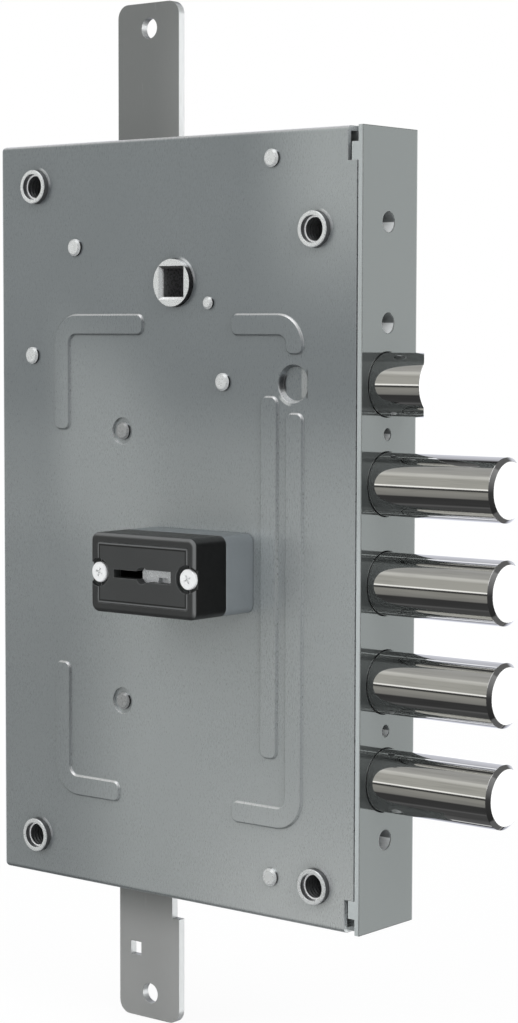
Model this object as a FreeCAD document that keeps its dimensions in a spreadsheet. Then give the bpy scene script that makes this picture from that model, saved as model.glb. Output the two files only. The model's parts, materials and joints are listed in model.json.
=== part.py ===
import FreeCAD, Part
import math
import os

import Sketcher

# Lever lock in a sheet-metal case, with four round bolts, a latch and two rods.
# X runs towards the door's edge and is zero on the edge plate's outer face.
# Y runs into the lock, with the bolts' axes at zero and the cover on the minus side.
# Z runs up and is zero at half the height of the case. All lengths are in mm.

SIZES = [
    ("CaseWidth", 140.9, "case from the edge plate's face to its far side"),
    ("CaseHeight", 226.3, "case and edge plate height"),
    ("CaseDepth", 26.9, "front of the cover to back of the back plate"),
    ("BoltLineDepth", 12.0, "front of the cover to the bolts' axes"),
    ("CaseSheet", 1.6, "sheet of edge plate and back plate"),
    ("CoverSheet", 1.5, "sheet of the cover"),
    ("CoverBend", 1.5, "outer bend radius of the cover"),
    ("CaseBend", 2.0, "outer bend radius between edge plate and back plate"),
    ("SeamGap", 0.5, "seam between cover and edge plate"),
    ("FitGap", 0.1, "play between parts that seat in each other"),
    ("RunGap", 0.3, "play between parts that move past each other"),
    ("NotchWidth", 5.3, "corner notch of the cover, along X"),
    ("NotchHeight", 9.65, "corner notch of the cover, along Z"),
    ("NotchDepth", 4.0, "corner notch of the cover, along Y"),
    ("TabReach", 3.9, "corner tab of the edge plate, along X"),
    ("TabHeight", 5.1, "corner tab of the edge plate, along Z"),
    ("TongueReach", 9.6, "folded tongue behind the corner notch, along X"),
    ("TongueLap", 3.5, "tongue past the notch behind the cover"),
    ("BoltRadius", 9.0, "round bolt"),
    ("BoltReach", 41.2, "thrown bolt in front of the edge plate"),
    ("BoltTravel", 36.0, "four throws of the key"),
    ("BoltChamfer", 1.1, "chamfer of a bolt's end"),
    ("BoltTopHeight", 13.62, "axis of the uppermost bolt"),
    ("BoltPitch", 28.0, "from bolt to bolt"),
    ("BoltCount", 4, "number of bolts"),
    ("BoltShoulder", 3.0, "bolt's shoulder behind the edge plate's face"),
    ("BoltTail", 8.2, "length of the bolt's flat tail"),
    ("TailFront", 3.2, "front flat of the tail"),
    ("TailBack", 7.0, "rear flat of the tail, its seat on the carriage"),
    ("TailScrewRadius", 2.0, "screw through the carriage into the tail"),
    ("TailScrewHead", 3.6, "head radius of that screw"),
    ("PlateHole", 0.25, "play round bolts and latch in the edge plate"),
    ("TopFixingDrop", 26.25, "upper fixing hole from the edge plate's top"),
    ("FixingHoleGap", 17.2, "fixing holes above the latch's axis and below the lowest bolt's"),
    ("FixingHoleRadius", 2.9, "fixing holes of the edge plate"),
    ("SmallHoleRadius", 1.75, "small holes between latch and bolts"),
    ("PlungeWall", 1.2, "wall of the collar behind each of these holes"),
    ("PlungePast", 0.4, "collar's length over the hole's width"),
    ("LatchHeight", 41.6, "axis of the latch"),
    ("LatchReach", 17.15, "latch in front of the edge plate"),
    ("LatchTravel", 16.0, "latch stroke"),
    ("LatchLength", 35.15, "round part of the latch"),
    ("LatchNose", 2.4, "flat end of the latch's nose"),
    ("LatchBevel", 10.9, "length of the latch's bevel along X"),
    ("TailPlateFront", -4.0, "latch tail plate, front face"),
    ("TailPlateBack", -0.5, "latch tail plate, rear face"),
    ("TailPlateLow", 36.6, "latch tail plate, lower edge"),
    ("TailPlateHigh", 48.6, "latch tail plate, upper edge"),
    ("GuidePostX", -50.1, "post in the latch tail's slot"),
    ("GuidePostHeight", 41.75, "post in the latch tail's slot"),
    ("GuidePostRadius", 2.5, "post in the latch tail's slot"),
    ("HandleX", -68.7, "handle axis"),
    ("HandleHeight", 70.5, "handle axis"),
    ("HandleRing", 6.975, "hub ring in the cover"),
    ("HandleProud", 1.8, "hub ring in front of the cover"),
    ("HandleSquare", 8.3, "hole for the handle's square spindle"),
    ("HandleLead", 0.75, "lead-in chamfer of the square hole"),
    ("HandleBody", 8.5, "hub inside the case"),
    ("ArmHalf", 3.0, "half width of the follower's arm and horn"),
    ("ArmPast", 6.0, "follower's arm past the latch drive pin"),
    ("ArmFront", -8.0, "front face of arm and horn"),
    ("ArmBack", -4.3, "rear face of arm and horn"),
    ("HornX", 12.5, "tip of the follower's horn from the handle axis"),
    ("HornDrop", 12.95, "tip of the follower's horn below the handle axis"),
    ("DrivePinRise", 2.9, "latch drive pin above the latch's axis"),
    ("DrivePinRadius", 2.0, "latch drive pin"),
    ("StopPostAside", 13.1, "horn's stop post from the handle axis, along X"),
    ("StopPostDrop", 5.95, "horn's stop post below the handle axis"),
    ("StopPostRadius", 2.0, "post that the horn rests against"),
    ("StopHead", 1.85, "head of that post"),
    ("SpringRadius", 3.0, "latch spring"),
    ("SpringWire", 0.7, "latch spring's wall"),
    ("BracketX", -45.0, "front face of the latch spring's bracket"),
    ("BracketSheet", 2.0, "latch spring's bracket"),
    ("SpringDepth", 4.0, "latch spring behind the bolts' plane"),
    ("Module", 1.0, "tooth size of gears and racks"),
    ("PressureAngle", 20.0, "tooth flank, in degrees"),
    ("GearTeeth", 26, "large step of the rod gears"),
    ("PinionTeeth", 14, "small step of the rod gears"),
    ("GearTip", 0.8, "gear tooth above its pitch circle"),
    ("GearRoot", 1.1, "gear tooth below its pitch circle"),
    ("RackTip", 0.7, "rack tooth beyond its pitch line"),
    ("RackRoot", 1.2, "rack tooth behind its pitch line"),
    ("ToothPlay", 0.25, "play of the teeth along the pitch line"),
    ("GearX", -89.8, "rod gears"),
    ("UpperGearHeight", 26.45, "upper rod gear"),
    ("LowerGearHeight", -55.2, "lower rod gear"),
    ("GearBore", 2.6, "bore of the rod gears"),
    ("GearHub", 9.5, "hub that backs the rod"),
    ("AxleRadius", 2.5, "gear axle"),
    ("AxleFlange", 9.0, "axle flange in front of the rod"),
    ("AxleSheet", 1.0, "axle flange"),
    ("RecessRadius", 4.0, "recess round the axle's head"),
    ("RecessDepth", 0.8, "recess round the axle's head"),
    ("HeadProud", 1.2, "rivet heads in front of the cover"),
    ("HeadRadius", 2.6, "rivet heads"),
    ("HeadCrown", 0.6, "chamfer of a rivet head"),
    ("RivetRadius", 1.6, "rivet shank in the cover"),
    ("TailRivet", 1.75, "rivet shank in the back plate"),
    ("CarriageFront", 9.3, "carriage plate, front face"),
    ("CarriageSheet", 3.0, "carriage plate"),
    ("BarWidth", 10.65, "carriage bar behind the bolts"),
    ("BarEnd", 7.0, "carriage bar beyond the outer bolts' axes"),
    ("StudX", -86.0, "carriage guide studs"),
    ("UpperStudHeight", 5.6, "upper carriage guide stud"),
    ("LowerStudHeight", -33.0, "lower carriage guide stud"),
    ("StudRadius", 2.2, "carriage guide studs"),
    ("StudHead", 4.0, "carriage guide stud's head"),
    ("StudHeadSheet", 1.2, "carriage guide stud's head"),
    ("RodLeft", -102.1, "far edge of the rods"),
    ("RodWidth", 24.4, "rods"),
    ("RodSheet", 2.5, "rods"),
    ("TopRodReach", 41.45, "top rod beyond the case"),
    ("BottomRodReach", 42.55, "bottom rod beyond the case"),
    ("RodCorner", 4.0, "corner radius of the rods' outer ends"),
    ("RodHoleRadius", 3.1, "hole at the rods' outer ends"),
    ("TopRodHoleInset", 7.53, "hole from the top rod's end"),
    ("BottomRodHoleInset", 7.8, "hole from the bottom rod's end"),
    ("RodHoleX", -89.53, "hole at the rods' outer ends"),
    ("RodWindowWall", 3.7, "rod beside its window"),
    ("RodWindowEnd", 4.0, "rod past its window"),
    ("RodWindowPlay", 1.25, "room past the pinion in the window"),
    ("RodNeck", 2.75, "step in the bottom rod's edge"),
    ("RodNeckInside", 5.15, "upper end of that step above the case's lower edge"),
    ("RodNeckOutside", 9.85, "lower end of that step below the case's lower edge"),
    ("RodSquareX", -95.35, "small square hole in the bottom rod"),
    ("RodSquareDrop", 21.45, "small square hole below the case's lower edge"),
    ("RodSquare", 4.3, "small square hole in the bottom rod"),
    ("BushRadius", 5.15, "fixing bush"),
    ("BushProud", 2.0, "fixing bush in front of the cover"),
    ("BushBore", 3.325, "wall of the M8 thread, at its minor diameter"),
    ("BushCounter", 3.85, "counterbore of the fixing bush"),
    ("BushCounterDepth", 1.7, "counterbore of the fixing bush"),
    ("BushTail", 4.2, "bush in the back plate"),
    ("PostRadius", 3.0, "spacer posts between cover and back plate"),
    ("BeadWidth", 6.3, "beads of the cover"),
    ("BeadHeight", 0.75, "beads of the cover"),
    ("BeadEdge", 0.45, "sloped flank of a bead"),
    ("BeadInner", 2.7, "inner corner radius of a bead"),
    ("BeadOuter", 9.2, "outer corner radius of a bead"),
    ("BeadEnd", 2.2, "corner radius at a bead's end"),
    ("UpperBeadTop", 61.45, "upper edge of the upper beads"),
    ("LowerBeadBottom", -86.4, "lower edge of the lower beads"),
    ("LeftBeadInset", 23.4, "left beads from the case's far side"),
    ("RightBeadX", -20.4, "near edge of the right beads"),
    ("UpperLeftReach", 36.5, "length of the upper left bead along X"),
    ("UpperLeftDrop", 35.2, "height of the upper left bead"),
    ("UpperRightEndX", -46.9, "left end of the upper right bead"),
    ("UpperRightDrop", 11.6, "height of the upper right bead"),
    ("LowerLeftReach", 26.6, "length of the lower left bead along X"),
    ("LowerLeftRise", 41.2, "height of the lower left bead"),
    ("LowerRightEndX", -46.5, "left end of the lower right bead"),
    ("LowerRightRise", 119.8, "height of the lower right bead"),
    ("StraightBeadX", -29.6, "near edge of the straight bead"),
    ("StraightBeadTop", 38.0, "upper end of the straight bead"),
    ("StraightBeadBottom", -66.4, "lower end of the straight bead"),
    ("DimpleX", -24.3, "dimple in the cover"),
    ("DimpleHeight", 41.6, "dimple in the cover"),
    ("DimpleRadius", 5.5, "dimple at the cover's face"),
    ("DimpleFloor", 4.8, "dimple at its floor"),
    ("DimpleDepth", 1.7, "dimple in the cover"),
    ("DimpleBulge", 1.2, "dimple's back behind the cover's sheet"),
    ("CoreX", -58.65, "centre of the key core"),
    ("CoreHeight", -13.2, "centre of the key core"),
    ("CoreWidth", 40.0, "key core along X"),
    ("CoreTall", 23.1, "key core along Z"),
    ("CoreCorner", 2.5, "corner radius of the key core"),
    ("HousingProud", 12.2, "grey housing in front of the cover"),
    ("CapDepth", 13.6, "black cap in front of the housing"),
    ("CapEdge", 1.2, "edge radius of the cap's front"),
    ("FaceWidth", 34.5, "inset face plate along X"),
    ("FaceTall", 17.6, "inset face plate along Z"),
    ("FaceCorner", 0.6, "corner radius of the face plate"),
    ("FaceSheet", 3.0, "face plate"),
    ("CoreScrewX", 16.9, "core screws from the core's centre"),
    ("CoreScrewHead", 2.95, "core screw's head"),
    ("CoreScrewSink", 0.3, "core screw's head below the cap's face"),
    ("CoreCounter", 4.1, "counterbore of the core screws"),
    ("CoreCounterDepth", 1.4, "counterbore of the core screws"),
    ("CoreScrewRadius", 1.6, "core screw's shank"),
    ("CoreScrewLength", 20.0, "core screw"),
    ("KeyWidth", 21.9, "keyhole along X"),
    ("KeyThin", 2.4, "left half of the keyhole"),
    ("KeyThick", 3.6, "right half of the keyhole"),
    ("KeyRound", 2.45, "round middle of the keyhole"),
    ("ShutterSheet", 2.0, "shutter behind the keyhole"),
    ("ShutterWidth", 13.4, "shutter along X"),
    ("ShutterTall", 5.2, "shutter along Z"),
    ("ShutterSpring", 0.8, "shutter spring"),
    ("SpringWell", 1.8, "well of the shutter spring in the cap"),
    ("RotorRadius", 6.0, "slotted key rotor"),
    ("RotorBore", 2.6, "bore of the key rotor"),
    ("RotorSlot", 2.6, "slot of the key rotor"),
    ("RotorSlotEnd", 9.0, "rear end of the rotor's slot"),
    ("RotorJournal", 4.5, "rotor journal in the back plate"),
    ("FlangeSheet", 2.0, "housing flange behind the cover"),
    ("FlangeOver", 3.3, "housing flange beyond the window"),
    ("FlangeTop", 14.5, "upper edge of the housing flange"),
    ("FlangeRight", -39.4, "near edge of the housing flange"),
    ("LeverCount", 6, "detainer levers"),
    ("LeverSheet", 1.5, "detainer lever"),
    ("LeverGap", 0.15, "between levers"),
    ("LeverFront", -7.8, "first lever's front face"),
    ("LeverLeft", -76.5, "far edge of the levers"),
    ("LeverRight", -40.6, "near edge of the levers"),
    ("LeverLow", -26.5, "lower edge of the levers"),
    ("LeverHigh", 8.0, "upper edge of the levers"),
    ("LeverWindow", 11.2, "round key window of a lever"),
    ("LeverLift", 2.5, "lever stroke"),
    ("StumpX", -37.6, "middle of the deadlocking stump"),
    ("StumpHeight", 3.6, "middle of the deadlocking stump"),
    ("StumpWidth", 3.0, "deadlocking stump along X"),
    ("StumpTall", 5.0, "deadlocking stump along Z"),
    ("StumpFront", -8.0, "front end of the deadlocking stump"),
    ("GatePlay", 0.1, "play of the stump in the levers' gates"),
    ("LeverPostRadius", 1.5, "lever guide posts"),
    ("LeftLeverPostX", -73.5, "left lever guide post"),
    ("RightLeverPostX", -43.7, "right lever guide post"),
    ("LeverPostHeight", -21.0, "lever guide posts"),
    ("KeeperSheet", 0.8, "lever keeper"),
    ("KeeperTop", 0.5, "upper edge of the lever keeper"),
    ("LeafRadius", 4.5, "bowed lever spring"),
    ("LeafSheet", 0.35, "bowed lever spring"),
    ("KeyWindowHalf", 7.0, "half height of the carriage's key window"),
    ("KeyWindowLeft", -66.7, "far end of the carriage's key window"),
    ("NotchRadius", 11.3, "reach of the drive notches"),
    ("DriveNotch", 4.6, "drive notch along X"),
    ("DriveCount", 4, "throws of the key"),
]

# Fixing bushes and spacer posts, each set in from the nearest edges of the case.
# A name holds the edge plate's side or the far side, and the upper or the lower edge.
BUSHES = [
    ("TopFarBush", 15.5, 12.75),
    ("TopNearBush", 16.4, 28.25),
    ("BottomFarBush", 15.4, 12.25),
    ("BottomNearBush", 15.7, 12.05),
]
POSTS = [
    ("TopNearPost", 32.05, 7.9),
    ("TopMiddlePost", 108.9, 31.55),
    ("TopFarPost", 13.9, 64.35),
    ("BottomNearPost", 31.9, 12.35),
]
NODE_OF_BUSH = {
    "TopFarBush": "fixing_bush_top_left",
    "TopNearBush": "fixing_bush_top_right",
    "BottomFarBush": "fixing_bush_bottom_left",
    "BottomNearBush": "fixing_bush_bottom_right",
}

doc = FreeCAD.newDocument("FittedLock")
sheet = doc.addObject("Spreadsheet::Sheet", "Sizes")
parts = []


class Size:
    """A number together with the spreadsheet expression that it comes from."""

    def __init__(self, text, value):
        self.text = text
        self.value = value

    def __float__(self):
        return float(self.value)

    def __neg__(self):
        return Size(f"(-1 * {self.text})", -self.value)

    def __add__(self, other):
        other = sized(other)
        return Size(f"({self.text} + {other.text})", self.value + other.value)

    def __radd__(self, other):
        return sized(other) + self

    def __sub__(self, other):
        other = sized(other)
        return Size(f"({self.text} - {other.text})", self.value - other.value)

    def __rsub__(self, other):
        return sized(other) - self

    def __mul__(self, other):
        other = sized(other)
        return Size(f"({self.text} * {other.text})", self.value * other.value)

    def __rmul__(self, other):
        return sized(other) * self

    def __truediv__(self, other):
        other = sized(other)
        return Size(f"({self.text} / {other.text})", self.value / other.value)


def sized(number):
    """A plain number as a Size."""
    if isinstance(number, Size):
        return number
    return Size(f"({number})", number)


def root(size):
    """Square root of a Size."""
    return Size(f"sqrt({size.text})", math.sqrt(size.value))


def whole(size):
    """A Size rounded down."""
    return Size(f"floor({size.text})", math.floor(size.value))


class Names:
    """The spreadsheet's cells as Sizes, one attribute for each alias."""


S = Names()


def fill_sheet():
    """Writes every driving size into the spreadsheet."""
    rows = list(SIZES)
    for name, inset, drop in BUSHES + POSTS:
        rows.append((name + "Inset", inset, "axis from that side of the case"))
        rows.append((name + "Drop", drop, "axis from that end of the case"))
    for row, (name, value, note) in enumerate(rows, start=1):
        sheet.set(f"A{row}", name)
        sheet.set(f"B{row}", str(value))
        sheet.set(f"C{row}", note)
        sheet.setAlias(f"B{row}", name)
        setattr(S, name, Size(f"Sizes.{name}", value))
    doc.recompute()


def bind(thing, path, size):
    """Ties a property to the spreadsheet."""
    thing.setExpression(path, sized(size).text)


def finish(thing, node):
    """Names a finished piece; the name is also that of its file."""
    thing.Label = node
    parts.append(thing)
    return thing


# Solids made from primitives

TURNS = {
    "x": FreeCAD.Rotation(FreeCAD.Vector(0, 1, 0), 90),
    "y": FreeCAD.Rotation(FreeCAD.Vector(1, 0, 0), -90),
    "z": FreeCAD.Rotation(),
}


def place(thing, x, y, z):
    """Binds the three coordinates of a placement."""
    for axis, size in zip("xyz", (x, y, z)):
        bind(thing, "Placement.Base." + axis, size)


def box(name, x, y, z):
    """A block between two planes on each axis."""
    block = doc.addObject("Part::Box", name)
    bind(block, "Length", x[1] - x[0])
    bind(block, "Width", y[1] - y[0])
    bind(block, "Height", z[1] - z[0])
    place(block, x[0], y[0], z[0])
    return block


def cylinder(name, axis, start, radius, length):
    """A round bar that starts at a point and runs along an axis."""
    bar = doc.addObject("Part::Cylinder", name)
    bar.Placement.Rotation = TURNS[axis]
    bind(bar, "Radius", radius)
    bind(bar, "Height", length)
    place(bar, *start)
    return bar


def cone(name, axis, start, radius, far_radius, length):
    """A cone that starts at a point and runs along an axis."""
    solid = doc.addObject("Part::Cone", name)
    solid.Placement.Rotation = TURNS[axis]
    bind(solid, "Radius1", radius)
    bind(solid, "Radius2", far_radius)
    bind(solid, "Height", length)
    place(solid, *start)
    return solid


def joined(name, solids):
    """Several solids as one."""
    if len(solids) == 1:
        return solids[0]
    fuse = doc.addObject("Part::MultiFuse", name)
    fuse.Shapes = solids
    return fuse


def cut(name, base, tools):
    """A solid less one or more others."""
    result = doc.addObject("Part::Cut", name)
    result.Base = base
    result.Tool = joined(name + "_tools", tools)
    return result


# Bodies made from sketches

def new_body(name):
    """An empty body."""
    return doc.addObject("PartDesign::Body", name)


def new_sketch(body, name, role, offset=0):
    """A sketch on one of the body's own planes, set off along the plane's normal."""
    planes = [plane for plane in body.Origin.OriginFeatures if plane.Role == role]
    sketch = body.newObject("Sketcher::SketchObject", name)
    sketch.AttachmentSupport = (planes[0], [""])
    sketch.MapMode = "FlatFace"
    bind(sketch, "AttachmentOffset.Base.z", offset)
    return sketch


def front_sketch(body, name, depth):
    """A sketch seen from the front, with X across and Z up, at a depth along Y."""
    return new_sketch(body, name, "XZ_Plane", -sized(depth))


def set_distance(sketch, kind, geometry, point, size):
    """Places one coordinate of a point from the sketch's origin."""
    limit = Sketcher.Constraint(kind, -1, 1, geometry, point, float(sized(size)))
    index = sketch.addConstraint(limit)
    sketch.setExpression(f"Constraints[{index}]", sized(size).text)


def polygon(sketch, corners):
    """A closed outline with straight sides through its corners."""
    corners = [(sized(across), sized(up)) for across, up in corners]
    points = [FreeCAD.Vector(float(across), float(up), 0) for across, up in corners]
    count = len(points)
    first = sketch.GeometryCount
    for index in range(count):
        side = Part.LineSegment(points[index], points[(index + 1) % count])
        sketch.addGeometry(side, False)
    for index in range(count):
        following = first + (index + 1) % count
        sketch.addConstraint(Sketcher.Constraint("Coincident", first + index, 2, following, 1))
    for index, (across, up) in enumerate(corners):
        set_distance(sketch, "DistanceX", first + index, 1, across)
        set_distance(sketch, "DistanceY", first + index, 1, up)


def rectangle(sketch, across, up):
    """A rectangle between two limits each way."""
    low, high = across
    bottom, top = up
    polygon(sketch, [(low, bottom), (high, bottom), (high, top), (low, top)])


def circle(sketch, across, up, radius):
    """A circle about a point."""
    centre = FreeCAD.Vector(float(sized(across)), float(sized(up)), 0)
    shape = Part.Circle(centre, FreeCAD.Vector(0, 0, 1), float(sized(radius)))
    index = sketch.addGeometry(shape, False)
    set_distance(sketch, "DistanceX", index, 3, across)
    set_distance(sketch, "DistanceY", index, 3, up)
    limit = sketch.addConstraint(Sketcher.Constraint("Radius", index, float(sized(radius))))
    sketch.setExpression(f"Constraints[{limit}]", sized(radius).text)


def pad(body, sketch, name, length, reverse=False, both=False):
    """A pad on a sketch, along the sketch's normal, against it or both ways."""
    feature = body.newObject("PartDesign::Pad", name)
    feature.Profile = sketch
    bind(feature, "Length", length)
    feature.Reversed = reverse
    feature.Midplane = both
    return feature


def pocket(body, sketch, name, length, both=False):
    """A pocket from a sketch, against the sketch's normal or both ways."""
    doc.recompute()
    before = body.Shape.Volume
    feature = body.newObject("PartDesign::Pocket", name)
    feature.Profile = sketch
    bind(feature, "Length", length)
    feature.Midplane = both
    doc.recompute()
    if body.Shape.Volume >= before:
        raise RuntimeError(name + " removes nothing")
    return feature


def row_of(body, feature, sketch, direction, name, length, count):
    """Copies of a feature in a straight row."""
    pattern = body.newObject("PartDesign::LinearPattern", name)
    pattern.Originals = [feature]
    pattern.Direction = (sketch, [direction])
    bind(pattern, "Length", length)
    bind(pattern, "Occurrences", count)
    body.Tip = pattern
    return pattern


def straight_edges(shape, axis, spots):
    """Names of the straight edges along an axis that pass one of the given spots."""
    names = []
    for number, edge in enumerate(shape.Edges, start=1):
        if len(edge.Vertexes) != 2:
            continue
        ends = [(vertex.X, vertex.Y, vertex.Z) for vertex in edge.Vertexes]
        others = [index for index in range(3) if "xyz"[index] != axis]
        flat = [tuple(end[index] for index in others) for end in ends]
        if math.dist(flat[0], flat[1]) > TINY:
            continue
        if any(math.dist(flat[0], [float(sized(c)) for c in spot]) < NEAR for spot in spots):
            names.append(f"Edge{number}")
    return names


def round_edges(body, name, axis, spots, radius):
    """Rounds straight edges of a body, picked by where they pass."""
    doc.recompute()
    tip = body.Tip
    edges = straight_edges(tip.Shape, axis, spots)
    if not edges:
        raise RuntimeError(name + " finds no edge")
    fillet = body.newObject("PartDesign::Fillet", name)
    fillet.Base = (tip, edges)
    bind(fillet, "Radius", radius)
    body.Tip = fillet
    return fillet


def faces_at(shape, depth):
    """Names of the faces that lie across Y at a depth."""
    names = []
    for number, face in enumerate(shape.Faces, start=1):
        box_of_face = face.BoundBox
        if abs(box_of_face.YMin - depth) < NEAR and abs(box_of_face.YMax - depth) < NEAR:
            names.append(f"Face{number}")
    return names


def turned(name, x, height, profile):
    """A turned piece about an axis along Y, from its radius and depth corners."""
    body = new_body(name)
    place(body, x, 0, height)
    sketch = new_sketch(body, name + "_profile", "XY_Plane")
    polygon(sketch, profile)
    turn = body.newObject("PartDesign::Revolution", name + "_turn")
    turn.Profile = sketch
    turn.ReferenceAxis = (sketch, ["V_Axis"])
    turn.Angle = 360
    return body


def block(name, x, y, z, radius):
    """A block with its four edges along Y rounded."""
    body = new_body(name)
    sketch = front_sketch(body, name + "_outline", y[0])
    rectangle(sketch, x, z)
    pad(body, sketch, name + "_pad", y[1] - y[0], reverse=True)
    corners = [(across, up) for across in x for up in z]
    round_edges(body, name + "_corners", "y", corners, radius)
    return body


TINY = 1e-6
NEAR = 1e-3

fill_sheet()

FRONT = -S.BoltLineDepth
BACK = S.CaseDepth - S.BoltLineDepth
INNER_FRONT = FRONT + S.CoverSheet
INNER_BACK = BACK - S.CaseSheet
HALF = S.CaseHeight / 2
COVER_RIGHT = -(S.CaseSheet + S.SeamGap)
PITCH = Size("(pi * Sizes.Module)", math.pi * S.Module.value)
GEAR_PITCH_RADIUS = S.Module * S.GearTeeth / 2
PINION_PITCH_RADIUS = S.Module * S.PinionTeeth / 2
ROD_TRAVEL = S.BoltTravel * S.PinionTeeth / S.GearTeeth
ROD_RIGHT = S.RodLeft + S.RodWidth
CARRIAGE_BACK = S.CarriageFront + S.CarriageSheet
CORE_FRONT = FRONT - S.HousingProud - S.CapDepth
CAP_BACK = FRONT - S.HousingProud
GEARS = [("upper", S.UpperGearHeight), ("lower", S.LowerGearHeight)]
BOLT_HEIGHTS = [S.BoltTopHeight - S.BoltPitch * index for index in range(int(S.BoltCount.value))]


def set_in(name):
    """X and Z of an axis that is set in from two edges of the case."""
    inset = getattr(S, name + "Inset")
    drop = getattr(S, name + "Drop")
    x = inset - S.CaseWidth if "Far" in name else -inset
    height = drop - HALF if "Bottom" in name else HALF - drop
    return x, height


BUSH_CENTRES = [(name, *set_in(name)) for name, _, _ in BUSHES]
POST_CENTRES = [set_in(name) for name, _, _ in POSTS]
PLATE_HOLES = [
    (HALF - S.TopFixingDrop, S.FixingHoleRadius),
    (S.LatchHeight + S.FixingHoleGap, S.FixingHoleRadius),
    ((S.LatchHeight + S.BoltTopHeight) / 2, S.SmallHoleRadius),
    ((BOLT_HEIGHTS[-2] + BOLT_HEIGHTS[-1]) / 2, S.SmallHoleRadius),
    (BOLT_HEIGHTS[-1] - S.FixingHoleGap, S.FixingHoleRadius),
]
TOP_ROD_END = HALF + S.TopRodReach
BOTTOM_ROD_END = -HALF - S.BottomRodReach
CORE_X = (S.CoreX - S.CoreWidth / 2, S.CoreX + S.CoreWidth / 2)
CORE_Z = (S.CoreHeight - S.CoreTall / 2, S.CoreHeight + S.CoreTall / 2)
PIN_HEIGHT = S.LatchHeight + S.DrivePinRise
STOP_POST = (S.HandleX + S.StopPostAside, S.HandleHeight - S.StopPostDrop)
GUIDE_POST = (S.GuidePostX, S.GuidePostHeight)
PAST = 1.0


def lock_case():
    """Edge plate and back plate, folded from one sheet, with the corner tabs."""
    body = new_body("case_sheet")
    profile = new_sketch(body, "case_profile", "XY_Plane")
    corners = [
        (-S.CaseWidth, INNER_BACK),
        (-S.CaseWidth, BACK),
        (0, BACK),
        (0, FRONT),
        (-S.CaseSheet, FRONT),
        (-S.CaseSheet, INNER_BACK),
    ]
    polygon(profile, corners)
    pad(body, profile, "case_pad", S.CaseHeight, both=True)
    round_edges(body, "case_bend", "z", [(0, BACK)], S.CaseBend)
    tabs = front_sketch(body, "case_tabs", FRONT)
    notch = HALF - S.NotchHeight
    rectangle(tabs, (-S.TabReach, -S.CaseSheet), (notch, notch + S.TabHeight))
    rectangle(tabs, (-S.TabReach, -S.CaseSheet), (-notch - S.TabHeight, -notch))
    pad(body, tabs, "case_tab_pad", S.CoverSheet, reverse=True)
    fold = front_sketch(body, "case_tongues", FRONT + S.NotchDepth)
    low = notch - S.TongueLap
    high = HALF - S.CoverSheet - S.FitGap
    rectangle(fold, (-S.TongueReach, -S.CaseSheet), (low, high))
    rectangle(fold, (-S.TongueReach, -S.CaseSheet), (-high, -low))
    pad(body, fold, "case_tongue_pad", S.CaseSheet, reverse=True)
    for number, (height, radius) in enumerate(PLATE_HOLES, start=1):
        collar = new_sketch(body, f"collar_{number}", "YZ_Plane", -S.CaseSheet)
        circle(collar, 0, height, radius + S.PlungeWall)
        reach = radius * 2 + S.PlungePast - S.CaseSheet
        pad(body, collar, f"collar_{number}_pad", reach, reverse=True)
    edge = new_sketch(body, "edge_plate_holes", "YZ_Plane")
    for height in BOLT_HEIGHTS + [S.LatchHeight]:
        circle(edge, 0, height, S.BoltRadius + S.PlateHole)
    pocket(body, edge, "edge_plate_cut", S.CaseSheet + PAST)
    small = new_sketch(body, "small_edge_plate_holes", "YZ_Plane")
    for height, radius in PLATE_HOLES:
        circle(small, 0, height, radius)
    pocket(body, small, "small_edge_plate_cut", S.FixingHoleRadius * 2 + S.PlungePast + PAST)
    back = front_sketch(body, "back_plate_holes", INNER_BACK)
    for _, x, height in BUSH_CENTRES:
        circle(back, x, height, S.BushTail)
    rivets = POST_CENTRES + [(S.GearX, height) for _, height in GEARS]
    rivets += [GUIDE_POST, STOP_POST]
    rivets += [(S.StudX, S.UpperStudHeight), (S.StudX, S.LowerStudHeight)]
    for x, height in rivets:
        circle(back, x, height, S.TailRivet)
    circle(back, S.HandleX, S.HandleHeight, S.HandleRing + S.FitGap)
    circle(back, S.CoreX, S.CoreHeight, S.RotorJournal + S.FitGap)
    pocket(body, back, "back_plate_cut", S.CaseSheet + PAST)
    finish(body, "lock_case")


def l_corners(outer_x, outer_z, end_x, end_z):
    """Corners of an L of the bead's width, from its outer corner and its two ends."""
    side = 1 if float(end_x) > float(outer_x) else -1
    rise = 1 if float(end_z) > float(outer_z) else -1
    inner_x = outer_x + side * S.BeadWidth
    inner_z = outer_z + rise * S.BeadWidth
    return [
        (outer_x, outer_z),
        (end_x, outer_z),
        (end_x, inner_z),
        (inner_x, inner_z),
        (inner_x, end_z),
        (outer_x, end_z),
    ]


def bead(name, corners):
    """One raised bead with round corners and sloped flanks; an L has its bend first."""
    body = new_body(name)
    outline = front_sketch(body, name + "_outline", FRONT)
    polygon(outline, corners)
    pad(body, outline, name + "_pad", S.BeadHeight)
    if len(corners) == 6:
        round_edges(body, name + "_outer", "y", [corners[0]], S.BeadOuter)
        round_edges(body, name + "_inner", "y", [corners[3]], S.BeadInner)
        ends = [corners[1], corners[2], corners[4], corners[5]]
    else:
        ends = corners
    round_edges(body, name + "_ends", "y", ends, S.BeadEnd)
    doc.recompute()
    tip = body.Tip
    slope = body.newObject("PartDesign::Chamfer", name + "_flank")
    slope.Base = (tip, faces_at(tip.Shape, float(FRONT - S.BeadHeight)))
    bind(slope, "Size", S.BeadEdge)
    body.Tip = slope
    return body


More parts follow.
